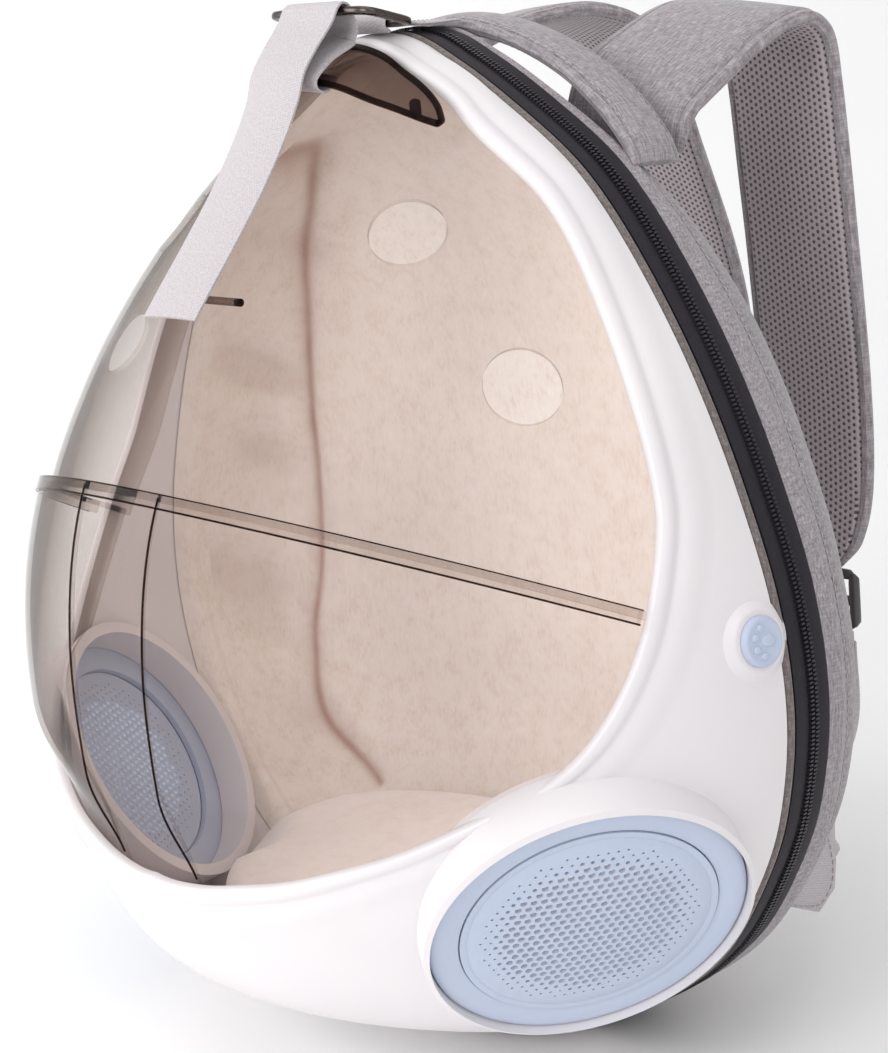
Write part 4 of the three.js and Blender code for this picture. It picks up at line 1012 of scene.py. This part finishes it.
def belt():
    cord = seam([(PIPING_RADIUS * (0.7 - math.sin(t)), GAP + PIPING_RADIUS + PIPING_RADIUS * math.cos(t))
                 for t in around_circle(14)], "piping_skin")
    finish(cord, piping_grey, "piping", "piping")
    tape = seam([(0, TAPE_FROM), (-0.25, TAPE_FROM + 2), (-0.1, TAPE_FROM + 6), (0.2, TAPE_FROM + 7.2),
                 (0.2, TAPE_TO - 7.2), (-0.1, TAPE_TO - 6), (-0.25, TAPE_TO - 2), (0, TAPE_TO), (1.5, TAPE_TO),
                 (1.5, TAPE_FROM)], "zipper_tape_skin")
    finish(tape, zip_black, "zip", "zipper_tape")
    # the coil: two rows of interlocked loops along the tape
    a = np.linspace(0, 2 * math.pi, 4000)
    base = skin(a, np.zeros_like(a), 0.0, "front", 0.0)
    d = np.r_[0, np.cumsum(np.linalg.norm(np.diff(base, axis=0), axis=1))]
    count = int(d[-1] / 1.7)
    spots = np.interp(np.arange(count) * d[-1] / count, d, a)
    p0 = skin(spots, np.zeros_like(spots), 0.0, "front", 0.0)
    p1 = skin(spots + 0.002, np.zeros_like(spots), 0.0, "front", 0.0)
    along = unit(p1 - p0)
    out = np.stack([-along[:, 2], 0 * along[:, 0], along[:, 0]], -1)
    out *= np.sign(np.sum(out * (p0 - np.array([0, 0, CENTRE_RISE])), -1))[:, None]
    p0[:, 2] = np.maximum(p0[:, 2], FLOOR_CUT + 1.5)
    mid = (TAPE_FROM + TAPE_TO) / 2
    verts, faces = [], []
    box = np.array([(-0.6, -1.1, 0.2), (0.6, -1.1, 0.2), (0.6, 1.1, 0.2), (-0.6, 1.1, 0.2),
                    (-0.45, -0.9, 1.25), (0.45, -0.9, 1.25), (0.45, 0.9, 1.25), (-0.45, 0.9, 1.25)])
    quads = [(0, 3, 2, 1), (4, 5, 6, 7), (0, 1, 5, 4), (1, 2, 6, 5), (2, 3, 7, 6), (3, 0, 4, 7)]
    for k in range(count):
        for sign in (-1, 1):
            off = mid + sign * 1.25
            shift = 0.42 * sign
            b = len(verts)
            for x, y, z in box:
                verts.append(p0[k] + along[k] * (x + shift) + np.array([0, off + y, 0]) + out[k] * z)
            faces += [tuple(b + i for i in q) for q in quads]
    coil = make("zipper_coil_skin", np.array(verts), faces, smooth=False)
    outward(coil)
    finish(coil, coil_black, "zip", "zipper_coil")


# ---------------------------------------------------------------- soft back and cabin
def rand_waves(seed, count, low, high):
    """Frequency, direction, phase and strength of some waves, the same in every run."""
    r = np.random.default_rng(seed)
    return [(r.uniform(low, high), r.uniform(0, 2 * math.pi), r.uniform(0, 2 * math.pi), r.uniform(0.5, 1))
            for _ in range(count)]


def ripples(p, waves):
    """The waves' mean height at points."""
    total = np.zeros(p.shape[:-1])
    for freq, turn, phase, amp in waves:
        d = p[..., 0] * math.cos(turn) + p[..., 2] * math.sin(turn) + 0.3 * p[..., 1]
        total += amp * np.sin(freq * d + phase)
    return total / len(waves)


def back_panel():
    """Soft outer pouch with a rolled seam at the zip and slack dents."""
    a = around_circle(320)
    rows = []
    waves = rand_waves(3, 7, 0.02, 0.07)
    fine = rand_waves(4, 9, 0.09, 0.2)
    for s in np.linspace(0, 0.9995, 90):
        turn = np.full_like(a, s * math.pi / 2)
        p = skin(a, turn, 0.0, "back", CLOTH_FROM)
        n = facing(a, np.clip(turn, 0.02, None), "back")
        slack = np.clip(s / 0.25, 0, 1) * (1.6 * ripples(p, waves) + 0.4 * ripples(p, fine))
        roll = 1.1 * math.exp(-((s - 0.035) / 0.018) ** 2) - 0.9 * math.exp(-((s - 0.085) / 0.012) ** 2)
        q = p + n * (slack + roll)[:, None] if s > 0 else p
        q[:, 2] = np.maximum(q[:, 2], FLOOR_CUT)
        rows.append(q)
    inner = [skin(a, np.full_like(a, s * math.pi / 2), -CLOTH_WALL, "back", CLOTH_FROM)
             for s in np.linspace(0.9995, 0, 12)]
    body = grid("back_shell_skin", np.array(rows + inner), wrap_cols=True, wrap_rows=True, sharp=60)
    body.data.materials.append(melange_body)
    line, out = [], []
    for ang in np.linspace(0, 2 * math.pi, 1200):
        aa = np.array(ang)
        t = np.array(0.085 * math.pi / 2)
        line.append(skin(aa, t, -0.7, "back", CLOTH_FROM))
        out.append(facing(aa, t, "back"))
    keep = [i for i in range(len(line)) if line[i][2] > FLOOR_CUT + 3]
    thread = stitches(np.array(line)[keep], np.array(out)[keep], 3.4, 2.4, 0.35)
    finish_parts("back_shell_skin", [body, thread], "melange", "back_shell")


SEAM_SPOTS = np.array([(-70, 385), (-100, 352), (-122, 318), (-136, 283), (-146, 245), (-151, 205), (-155, 165),
                       (-158, 128), (-148, 92), (-118, 62)], float)  # x, rise of the sewn corner on the cabin's back


def lining():
    """Plush inner shell: a sewn corner line round the back, slack folds in the side wall, a soft nap, and painted shade
    along the sewn corner and in the fold hollows.
    """
    a = around_circle(420)
    inset = CLOTH_WALL + CLEAR_GAP
    rows_in, rows_out, shades = [], [], []
    waves = rand_waves(11, 8, 0.03, 0.1)
    fine = rand_waves(12, 12, 0.12, 0.35)
    # the collar turns out to the hard shell past the piping: depth, turn, step in from the pouch, wall
    steps = [(-6.0, 0.0, -0.2, 0.4), (-4.0, 0.0, 0.2, 1.2), (-1.5, 0.0, 0.9, 2.1)]
    steps += [(d, 0.0, 1.3 if d < TAPE_FROM + 0.6 else 0.0, PLUSH_WALL)
              for d in np.linspace(0.8, CLOTH_FROM - 1.5, 14)]
    steps += [(CLOTH_FROM, s * math.pi / 2, 0.0, PLUSH_WALL) for s in np.linspace(0, 0.9995, 150)]
    top = np.degrees(np.where(a > math.pi, 2 * math.pi - a, a))
    sides = np.clip((top - 12) / 18, 0, 1) * np.clip((168 - top) / 20, 0, 1)
    for forward, t, step_in, wall_here in steps:
        turn = np.full_like(a, t)
        outer = skin(a, turn, -inset - step_in, "back", forward)
        p = skin(a, turn, -inset - step_in - wall_here, "back", forward)
        n = facing(a, np.clip(turn, 0.05, None), "back")
        z, y = p[:, 2], p[:, 1]
        # slack folds lie level in the side walls and die out at the sewn corner
        wall = np.clip(1.15 - abs(t - 0.14) / 0.34, 0, 1) if t > 0 else 0.1 + 0.8 * np.clip(forward / CLOTH_FROM, 0, 1)
        fold = np.sin(z * 0.105 + 1.1 * np.sin(z * 0.023 + 0.4) + 0.045 * y) + 0.7 * np.sin(z * 0.053 + 1.3 + 0.07 * y)
        fold += 0.5 * np.sin(z * 0.19 + 0.09 * y + 2.0)
        d = seam_distance(p)
        lift = 2.3 * wall * fold * sides + 1.2 * ripples(p, waves) + 0.4 * ripples(p, fine)
        lift += -2.4 * np.exp(-(d / 2.0) ** 2) + 1.6 * np.exp(-((d - 7) / 4.5) ** 2)
        q = p - n * (np.clip(lift, -1.9, 5.5) * min(1.0, max(0.0, (forward + 4) / 10)))[:, None]
        q[:, 2] = np.maximum(q[:, 2], FLOOR_CUT + inset + PLUSH_WALL)
        rows_in.append(q)
        rows_out.append(outer)
        # painted shade in the fold hollows, added to the painted shade along the sewn corner below
        fold_shade = np.clip(-fold * wall * sides - 0.1, 0, 1) * 0.2
        wobble = 0.75 + 0.35 * ripples(p, fine)
        shades.append(np.clip(0.85 * np.exp(-(d / 1.3) ** 2) * wobble + 0.14 * np.exp(-(d / 5) ** 2) + fold_shade, 0, 1))
    rows_out = rows_out[::-1][::8]
    body = grid("lining_skin", np.array(rows_in + rows_out), wrap_cols=True, wrap_rows=True, sharp=70)
    # the groove attribute carries the painted shade to the plush material
    groove = np.zeros(len(body.data.vertices), np.float32)
    groove[:len(rows_in) * len(a)] = np.concatenate(shades)
    layer = body.data.attributes.new("groove", "FLOAT", "POINT")
    layer.data.foreach_set("value", groove)
    finish(body, plush_beige, "plush", "lining")


def seam_distance(p):
    """Millimetres from the sewn corner line, on both sides of the cabin."""
    fine, _ = spline(SEAM_SPOTS, 60)
    x = -np.abs(p[:, 0])
    spot = np.stack([x, p[:, 2]], -1)
    best = np.full(len(p), 1e9)
    for q0, q1 in zip(fine[:-1], fine[1:]):
        seg = q1 - q0
        t = np.clip(((spot - q0) @ seg) / (seg @ seg), 0, 1)
        best = np.minimum(best, np.linalg.norm(spot - q0 - t[:, None] * seg, axis=-1))
    return best


def cushion():
    """Crowned plush floor cushion with pulled-in sides and a piped edge."""
    a = around_circle(180)
    fit, crown_from = 0.8, 60.0  # share of the egg's section, and the rise above which the outline stays the same
    rows = []
    profile = [(24.2, 0.80), (27, 0.92), (32, 0.985), (44, 1.0), (58, 0.995), (66, 0.975), (70.5, 0.945), (72.6, 0.9),
               (73.4, 0.84), (73.8, 0.74), (73.9, 0.6), (73.6, 0.45), (73.2, 0.3), (73.0, 0.15), (73.0, 0.02)]
    waves = rand_waves(21, 8, 0.03, 0.11)
    for rise, pull in profile:
        if rise <= crown_from:
            width = float(half_width(rise)) * fit
            front = FRONT_DEPTH * float(share(2, rise)) * fit
            back = CLOTH_FROM + BACK_DEPTH * float(share(3, rise)) * fit * 0.9 - CLOTH_WALL
        depth = np.where(np.sin(a) < 0, front, back)
        p = np.stack([width * pull * np.cos(a), depth * pull * np.sin(a), np.full_like(a, rise)], -1)
        p[:, 2] += (0.8 if pull < 0.9 else 0.2) * ripples(p, waves)
        rows.append(p)
    body = grid("seat_cushion_skin", np.array(rows), wrap_cols=True, caps=True, sharp=70)
    cut_out(body, [rod("cut", vent_place(side), RING_RADIUS + 2, -60, 30, 64) for side in (1, -1)], sharp=60)
    finish(body, plush_floor, "plush", "seat_cushion")


# ---------------------------------------------------------------- handle and straps
def pad_section(width, wall, edge=4.2, crown=1.0, count=11):
    """A padded strap's section: crowned faces, a groove, and bound edges."""
    w, h = width / 2, wall / 2
    xs = np.linspace(-1, 1, count) * (w - edge - 1.2)
    face = [(x, h * (0.82 + 0.18 * crown * (1 - (x / (w - edge)) ** 2))) for x in xs]
    left = [(-w + edge, h * 0.5), (-w + edge - 0.9, h * 0.66), (-w + 1.2, h * 0.56), (-w, 0)]
    right = [(w, 0), (w - 1.2, h * 0.56), (w - edge + 0.9, h * 0.66), (w - edge, h * 0.5)]
    upper = left[::-1] + face + right[::-1]
    lower = [(x, -y) for x, y in upper[::-1][1:-1]]
    return np.array(upper + lower)


STRAP_WIDTH, STRAP_WALL, STRAP_CENTRE = 60.0, 9.0, 68.5
# the straps' routes: depth, rise, roll in degrees, share of the width
STRAP_RIGHT = np.array([(56, 366.9, -22, .95), (68, 387, -21, 1), (90, 399, -18, 1), (119, 410, -12, 1), (141, 411, -6, 1),
                        (153, 402, -3, 1), (157, 382, 0, 1), (160, 350, 0, 1), (164, 300, 0, 1), (167, 250, 0, 1),
                        (166, 205, 0, .97), (163, 182, 0, .8), (161, 171, 0, .5)], float)
STRAP_LEFT = np.array([(56, 366.9, 22, .95), (68, 387, 21, 1), (92, 400, 17, 1), (128, 411, 8, 1), (165, 413, 3, 1),
                       (193, 404, 0, 1), (210, 380, 0, 1), (224, 345, 0, 1), (243, 295, 0, 1), (252, 250, 0, 1),
                       (248, 205, 0, .97), (241, 182, 0, .8), (237, 171, 0, .5)], float)


def shoulder_strap(name, table, side):
    steps = 170
    fine, length = spline(table, steps)
    centre = np.stack([np.full(steps, side * STRAP_CENTRE), fine[:, 0], fine[:, 1]], -1)
    roll = np.radians(fine[:, 2])
    across = np.stack([np.cos(roll), 0 * roll, np.sin(roll)], -1)
    full = pad_section(STRAP_WIDTH, STRAP_WALL)
    wave = 1 + 0.03 * np.sin(length / 23) + 0.02 * np.sin(length / 9 + 1)
    section = np.stack([full * np.array([w, 1.0]) * np.array([1.0, k]) for w, k in zip(fine[:, 3], wave)], 0)
    ends = np.minimum(np.linspace(0, 1, steps) * 40, np.linspace(1, 0, steps) * 40).clip(0, 1)
    section[..., 1] *= (0.25 + 0.75 * np.sqrt(ends))[:, None]
    body, along, acr, out = ribbon(name + "_skin", centre, across, section, length)
    painted(body, melange_strap, mesh_cloth)
    m, bound = full.shape[0], STRAP_WIDTH / 2 - 3.9
    inner = (full[:, 1] < 0) & (np.abs(full[:, 0]) < bound)
    face_cols = [j for j in range(m) if inner[j] and inner[(j + 1) % m]]
    for i, poly in enumerate(body.data.polygons):
        if i < (steps - 1) * m and (i % m) in face_cols:
            poly.material_index = 1
    parts = [body]
    for edge in (-1, 1):
        for face in (-1, 1):
            spot = (STRAP_WIDTH / 2 - 5.2) * edge * fine[:, 3]
            line = centre + acr * spot[:, None] + out * (face * (STRAP_WALL / 2 * 0.62))
            parts.append(stitches(line[4:-4], out[4:-4] * face, 3.8, 2.7, 0.32))
    obj = finish_parts(name + "_skin", parts, "melange", name)
    return centre, along, acr, out


# the handle's route: across, rise, depth
HANDLE = np.array([(0, 418, 43), (23, 415, 43), (45, 408, 43), (65, 398, 43), (82, 386, 42), (95, 373, 41),
                   (101.9, 362.9, 40)], float)


def carry_handle():
    half = HANDLE[::-1].copy()
    half[:, 0] *= -1
    table = np.concatenate([half[:-1], HANDLE])
    steps = 120
    fine, length = spline(table, steps)
    centre = np.stack([fine[:, 0], fine[:, 2], fine[:, 1]], -1)
    full = pad_section(25, 8, edge=3.2, crown=1.6, count=9)
    across = np.tile(np.array([[0.0, 1.0, 0.0]]), (steps, 1))
    section = np.tile(full[None], (steps, 1, 1))
    ends = np.minimum(np.linspace(0, 1, steps) * 30, np.linspace(1, 0, steps) * 30).clip(0, 1)
    section[..., 1] *= (0.4 + 0.6 * np.sqrt(ends))[:, None]
    body, along, acr, out = ribbon("carry_handle_skin", centre, across, section, length)
    painted(body, melange_strap, mesh_cloth)
    m = full.shape[0]
    low = out[steps // 2][2] < 0
    for i, poly in enumerate(body.data.polygons):
        if i < (steps - 1) * m:
            j = i % m
            y = full[j, 1] + full[(j + 1) % m, 1]
            under = y > 0 if low else y < 0
            if under and abs(full[j, 0]) < 9.2:
                poly.material_index = 1
    parts = [body]
    for edge in (-1, 1):
        for face in (-1, 1):
            line = centre + acr * (edge * 8.7) + out * (face * 2.9)
            parts.append(stitches(line[3:-3], out[3:-3] * face, 3.6, 2.5, 0.3))
    obj = finish_parts("carry_handle_skin", parts, "melange", "carry_handle")


def web_section(width, wall=1.2, count=7):
    w, h = width / 2, wall / 2
    top = [(x, h) for x in np.linspace(-w + 0.5, w - 0.5, count)]
    return np.array([(-w, 0)] + top + [(w, 0)] + [(x, -y) for x, y in top[::-1]])


LOCK_WIDE, LOCK_TALL, LOCK_DROP, LOCK_SHIFT = 32.0, 27.0, 1.0, 7.0
WEB_SAG, LOWER_WEB, WEB_STEPS = 5.0, 25.0, 60
TAB_ACROSS, TAB_WALL, WEB_HALF = 120.0, 2.0, 0.6
TAB_OUTLINE = np.array([(72, 88), (95, 82), (101, 64), (99, 51), (88, 44), (58.5, 58.5), (65.5, 69)], float)


def locks_and_webs():
    """On each side, a ladder lock, the webbing down from it and the corner tab."""
    wide, tall = LOCK_WIDE, LOCK_TALL
    for side, table, word in ((1, STRAP_RIGHT, "right"), (-1, STRAP_LEFT, "left")):
        end_y, end_z = table[-1, 0], table[-1, 1] - LOCK_DROP
        x0 = side * (STRAP_CENTRE + LOCK_SHIFT)
        bars = []
        for z in (-2.0, -tall / 2 - 0.5, -tall + 2.0):
            xs = np.linspace(-wide / 2 + 1.6, wide / 2 - 1.6, 12)
            line = np.stack([x0 + xs, np.full(12, end_y), np.full(12, end_z + z)], -1)
            bars.append(bar_of(line, 2.2, 1.9))
        for x in (-wide / 2 + 2.0, wide / 2 - 2.0):
            zs = np.linspace(-1.4, -tall + 1.4, 12)
            line = np.stack([np.full(12, x0 + x), np.full(12, end_y), end_z + zs], -1)
            bars.append(bar_of(line, 2.0, 2.4))
        parts = [painted(b, buckle_black) for b in bars]
        finish_parts("adjuster_%s_skin" % word, parts, "lock", "adjuster_%s" % word)
        # webbing from the lock to the corner tab
        face = TAB_ACROSS - TAB_WALL / 2 - GAP - WEB_HALF
        top = np.array([STRAP_CENTRE + LOCK_SHIFT, end_y, end_z - tall - GAP])
        meet, stitch = np.array([face, 100, 76.0]), np.array([face, 84, 62.0])
        sag = (top + meet) / 2 - np.array([0, 0, WEB_SAG])
        knots = np.array([top, top - [0, 0, 9], sag, meet, stitch])
        fine, length = spline(knots, WEB_STEPS)
        fine[:, 0] = np.minimum(fine[:, 0], face)
        s = np.linspace(0, 1, WEB_STEPS)
        twist = math.pi / 2 * ease((s - 0.1) / 0.6)
        across = np.stack([np.cos(twist), 0 * s, -np.sin(twist)], -1)
        fine[:, 0] *= side
        across[:, 0] *= side
        section = np.tile(web_section(LOWER_WEB)[None], (WEB_STEPS, 1, 1))
        web, *_ = ribbon("strap_web", fine, across, section, length)
        finish(web, webbing_grey, "webbing", "strap_web_%s" % word)
        web.name = "strap_web_%s_skin" % word
        # corner tab: two plies of webbing, folded and boxed with stitches
        outline, ply = TAB_OUTLINE, []
        centre = outline.mean(0)
        dense = np.concatenate([np.linspace(outline[i], outline[(i + 1) % 7], 8, endpoint=False) for i in range(7)])
        for x, shrink in ((-1.0, 0.985), (-0.8, 1.0), (0.8, 1.0), (1.0, 0.985)):
            q = centre + (dense - centre) * shrink
            ply.append(np.stack([np.full(len(q), side * TAB_ACROSS + x), q[:, 0], q[:, 1]], -1))
        ply = np.array(ply)
        tab = grid("web_tab", ply, wrap_cols=True, caps=True, uv=ply[..., 1:] * 0.001, sharp=40)
        inset = centre + (np.concatenate([outline, outline[:1]]) - centre) * 0.84
        parts = [painted(tab, webbing_grey)]
        for nx in (1.0, -1.0):
            line, _ = spline(np.stack([np.full(8, side * TAB_ACROSS + nx), inset[:, 0], inset[:, 1]], -1), 120)
            parts.append(stitches(line, np.tile([[nx, 0.0, 0.0]], (120, 1)), 3.6, 2.5, 0.3))
        finish_parts("web_tab_%s_skin" % word, parts, "webbing", "web_tab_%s" % word)


def bar_of(line, r0, r1, sides=12):
    """A rounded bar: r0 across, r1 out."""
    along = unit(np.gradient(line, axis=0))
    y = np.tile([[0.0, 1.0, 0.0]], (len(line), 1))
    s = np.cross(along, y)
    a = around_circle(sides)
    c, d = squarish(np.cos(a), 0.6), squarish(np.sin(a), 0.6)
    ends = np.sqrt(np.maximum(1 - np.abs(np.linspace(-1, 1, len(line))) ** 12, 0.05))
    ring = s[:, None] * r0 * c[None, :, None] + y[:, None] * r1 * d[None, :, None]
    return grid("bar", line[:, None] + ends[:, None, None] * ring, wrap_cols=True, caps=True, sharp=50)


# ---------------------------------------------------------------- hatch strap, buckle and peg
WEB_CENTRE, WEB_WIDTH = -3.0, 33.0
# the hatch webbing from the buckle to its free end: depth, rise, bow across
HATCH = np.array([(-28.5, 418.6, 1.5), (-26.4, 422.5, .4), (-27.6, 426.8, 0), (-29.4, 430.9, 0), (-32.4, 432.2, 0),
                  (-35, 430.6, 0), (-38.5, 425.5, 0), (-47, 417.5, .6), (-55, 409, 1.5), (-60, 399, 2), (-68, 386, 2),
                  (-81, 368, 1.6), (-96.5, 350, 1.4), (-110.5, 334.5, 1.2), (-118.5, 325.5, 1.2)], float)
ANCHOR = np.array([  # depth, rise
    (27.5, 420.5), (6, 420.9), (-3, 423.6), (-8, 425.6), (-11.4, 424.6), (-12.2, 421.4), (-9.6, 419.2)])


def hatch_strap():
    grip, away = 1.8, 3.6  # the crescent's middle level, and the webbing's distance from it
    loop = []
    for turn, share_out in ((17, -1), (20.4, -1), (21.9, -0.5), (21.9, 0.5), (20.4, 1), (16, 1), (11.4, 1)):
        p = skin(np.array(0.0), np.array(math.radians(turn)), grip + share_out * away)
        loop.append((p[1], p[2], 3.5))
    fine, length = spline(np.concatenate([np.array(loop), HATCH]), 220)
    cols = np.linspace(-1, 1, 15)
    centre = np.stack([np.full(220, WEB_CENTRE), fine[:, 0], fine[:, 1]], -1)
    along = unit(np.gradient(centre, axis=0))
    lift = unit(np.stack([0 * along[:, 0], -along[:, 2], along[:, 1]], -1))
    under = np.array([facing(np.array(0.0), np.array(spot_of(0.0, min(z, 0.99 * EGG_HEIGHT))[1]), "front")
                      for z in fine[:, 1]])
    rows = []
    x = WEB_CENTRE + cols * WEB_WIDTH / 2
    for i in range(220):
        mid = np.stack([x, np.full(15, fine[i, 0]), np.full(15, fine[i, 1])], -1)
        mid -= under[i] * (fine[i, 2] * (2 * x / WEB_WIDTH) ** 2)[:, None]
        thick = 0.62 * (1 - 0.35 * np.abs(cols) ** 8)
        rows.append(np.concatenate([mid + lift[i] * thick[:, None], (mid - lift[i] * thick[:, None])[::-1]]))
    p = np.array(rows)
    uv = np.zeros(p.shape[:2] + (2,))
    uv[..., 0] = np.r_[cols, cols[::-1]][None] * WEB_WIDTH / 2 * 0.001
    uv[..., 1] = length[:, None] * 0.001
    web = grid("web", p, wrap_cols=True, caps=True, uv=uv, sharp=60)
    parts = [painted(web, webbing_grey)]
    # stitched hem at the free end, and edge stitching
    for sign in (-1, 1):
        j = 1 if sign < 0 else 13
        line = p[60:-2, j]
        parts.append(stitches(line, lift[60:-2], 2.6, 1.8, 0.2))
    for back in (8, 14):
        line = np.array([p[-back, j] for j in range(1, 14)])
        line, _ = spline(line, 40)
        parts.append(stitches(line, np.tile(lift[-back][None], (40, 1)), 2.6, 1.8, 0.25))
    finish_parts("hatch_strap_skin", parts, "webbing", "hatch_strap")

    fine, length = spline(ANCHOR, 70)
    centre = np.stack([np.full(70, WEB_CENTRE), fine[:, 0], fine[:, 1]], -1)
    section = np.tile(web_section(WEB_WIDTH, 1.2, 11)[None], (70, 1, 1))
    web, along, acr, out = ribbon("strap_anchor_skin", centre, np.tile([[1.0, 0, 0]], (70, 1)), section, length)
    parts = [painted(web, webbing_grey)]
    up = np.where(out[:, 2:3] < 0, -out, out)
    for i in (6, 22):
        line = np.stack([np.linspace(-16, 10, 50), np.full(50, centre[i, 1]), np.full(50, centre[i, 2] + 0.55)], -1)
        parts.append(stitches(line, np.tile(up[i][None], (50, 1)), 2.6, 1.8, 0.25))
    finish_parts("strap_anchor_skin", parts, "webbing", "strap_anchor")


def buckle():
    rear, front = np.array([-9.0, 422.4]), np.array([-32.0, 429.0])
    along = np.array([0, *(front - rear)])
    length = np.linalg.norm(along)
    along /= length
    across = np.array([1.0, 0, 0])
    out = np.cross(across, along)
    middle = np.array([WEB_CENTRE, *((front + rear) / 2)])
    a = around_circle(120)
    c, s = np.cos(a), np.sin(a)
    x = squarish(c, 0.3) * 29
    y = squarish(s, 0.3) * length / 2
    line = middle + across * x[:, None] + along * y[:, None]
    line = np.concatenate([line, line[:1]])
    tangent = unit(np.gradient(line, axis=0))
    side = unit(np.cross(tangent, out))
    b = around_circle(14)
    rows = []
    for i in range(120):
        rows.append(line[i] + side[i] * (1.9 * squarish(np.cos(b), 0.7))[:, None]
                    + out * (1.6 * squarish(np.sin(b), 0.7))[:, None])
    body = grid("hatch_buckle_skin", np.array(rows), wrap_rows=True, wrap_cols=True, sharp=60)
    finish(body, gunmetal, "gunmetal", "hatch_buckle")


PEG_DEPTH, PEG_RISE, PEG_TO = -109.1, 331.2, 31


def peg():
    """The clear peg beside the webbing's free end, with a painted shadow darkening its tip."""
    def level(xs):
        return np.stack([xs, np.full(len(xs), PEG_DEPTH), np.full(len(xs), PEG_RISE)], -1)

    xs = np.linspace(8, PEG_TO, 40)
    r = 1.5 * np.sqrt(np.clip(1 - np.clip(xs - PEG_TO + 1, 0, 1) ** 2 * 0.6, 0.2, 1))
    body = tube("peg", level(xs), r, 20)
    # painted shadow: the tip takes the darker smoky tint
    tip = tube("tip", level(np.linspace(28.6, 30.9, 8)), 1.52, 20)
    finish_parts("strap_peg_skin", [painted(body, smoky), painted(tip, smoky_shade)], "smoky", "strap_peg")


# ---------------------------------------------------------------- build
for job in (shell_front, bubbles, ridge, panel_shade_lines, crescent, vents, paw_buttons, belt, back_panel, lining, cushion,
            carry_handle, locks_and_webs, hatch_strap, buckle, peg):
    job()
for name, table, side in (("shoulder_strap_right", STRAP_RIGHT, 1), ("shoulder_strap_left", STRAP_LEFT, -1)):
    shoulder_strap(name, table, side)

# ---------------------------------------------------------------- studio
def studio():
    """A floor that bends up behind the part, four soft lamps and a white world."""
    mesh = bpy.data.meshes.new("floor")
    bend = [(0.9 + 0.6 * math.sin(t), 0.6 - 0.6 * math.cos(t)) for t in np.linspace(0, math.pi / 2, 14)]
    curve = [(-1.0, 0.0)] + bend + [(1.5, 3.0)]
    back = -BACK.xy.normalized()
    side = Vector((-back.y, back.x))
    verts = [(*(back * d + side * w)[:], z - 0.0005) for d, z in [(-4.0, 0.0)] + curve for w in (-4.0, 4.0)]
    faces = [(2 * i, 2 * i + 1, 2 * i + 3, 2 * i + 2) for i in range(len(curve))]
    mesh.from_pydata(verts, [], faces)
    if mesh.polygons[0].normal.z < 0:
        mesh.flip_normals()
    mesh.polygons.foreach_set("use_smooth", [True] * len(faces))
    floor = bpy.data.objects.new("floor", mesh)
    scene.collection.objects.link(floor)
    p = Paint("floor_paper")
    v = p.coords()
    p.colour(p.ramp(p.noise(v, 3, 2), [(0.3, (0.9, 0.9, 0.9, 1)), (0.7, (0.94, 0.94, 0.94, 1))]))
    p.rough(p.noise(v, 20, 2), 0.75, 0.85)
    # seen from behind, the backdrop lets the view and the light through
    outward_side = p.node("ShaderNodeNewGeometry").outputs["Backfacing"]
    gap = p.node("ShaderNodeMixShader")
    p.link(outward_side, gap.inputs[0])
    p.link(p.main.outputs[0], gap.inputs[1])
    p.link(p.node("ShaderNodeBsdfTransparent").outputs[0], gap.inputs[2])
    p.link(gap.outputs[0], p.tree.nodes["Material Output"].inputs["Surface"])
    floor.data.materials.append(p.mat)

    def lamp(name, energy, size_x, size_y, spot, target, colour=(1, 1, 1)):
        data = bpy.data.lights.new(name, "AREA")
        data.shape, data.size, data.size_y, data.energy, data.color = "RECTANGLE", size_x, size_y, energy, colour
        obj = bpy.data.objects.new(name, data)
        obj.location = spot
        obj.rotation_euler = (Vector(target) - Vector(spot)).to_track_quat("-Z", "Y").to_euler()
        scene.collection.objects.link(obj)

    lamp("key", 14, 0.9, 1.3, (-1.3, -1.3, 0.75), (0, 0, 0.2))
    lamp("fill", 5, 1.2, 1.2, (1.7, -0.2, 1.3), (0, 0, 0.25))
    lamp("front", 13, 0.9, 0.9, (0.25, -1.7, 1.0), (0, 0.05, 0.2))
    lamp("top", 8, 1.6, 1.6, (0.1, -0.2, 1.9), (0, 0, 0.1))
    world = bpy.data.worlds.new("studio")
    world.use_nodes = True
    world.node_tree.nodes["Background"].inputs["Color"].default_value = (1, 1, 1, 1)
    world.node_tree.nodes["Background"].inputs["Strength"].default_value = 0.62
    scene.world = world
    scene.view_settings.view_transform = "Standard"


studio()

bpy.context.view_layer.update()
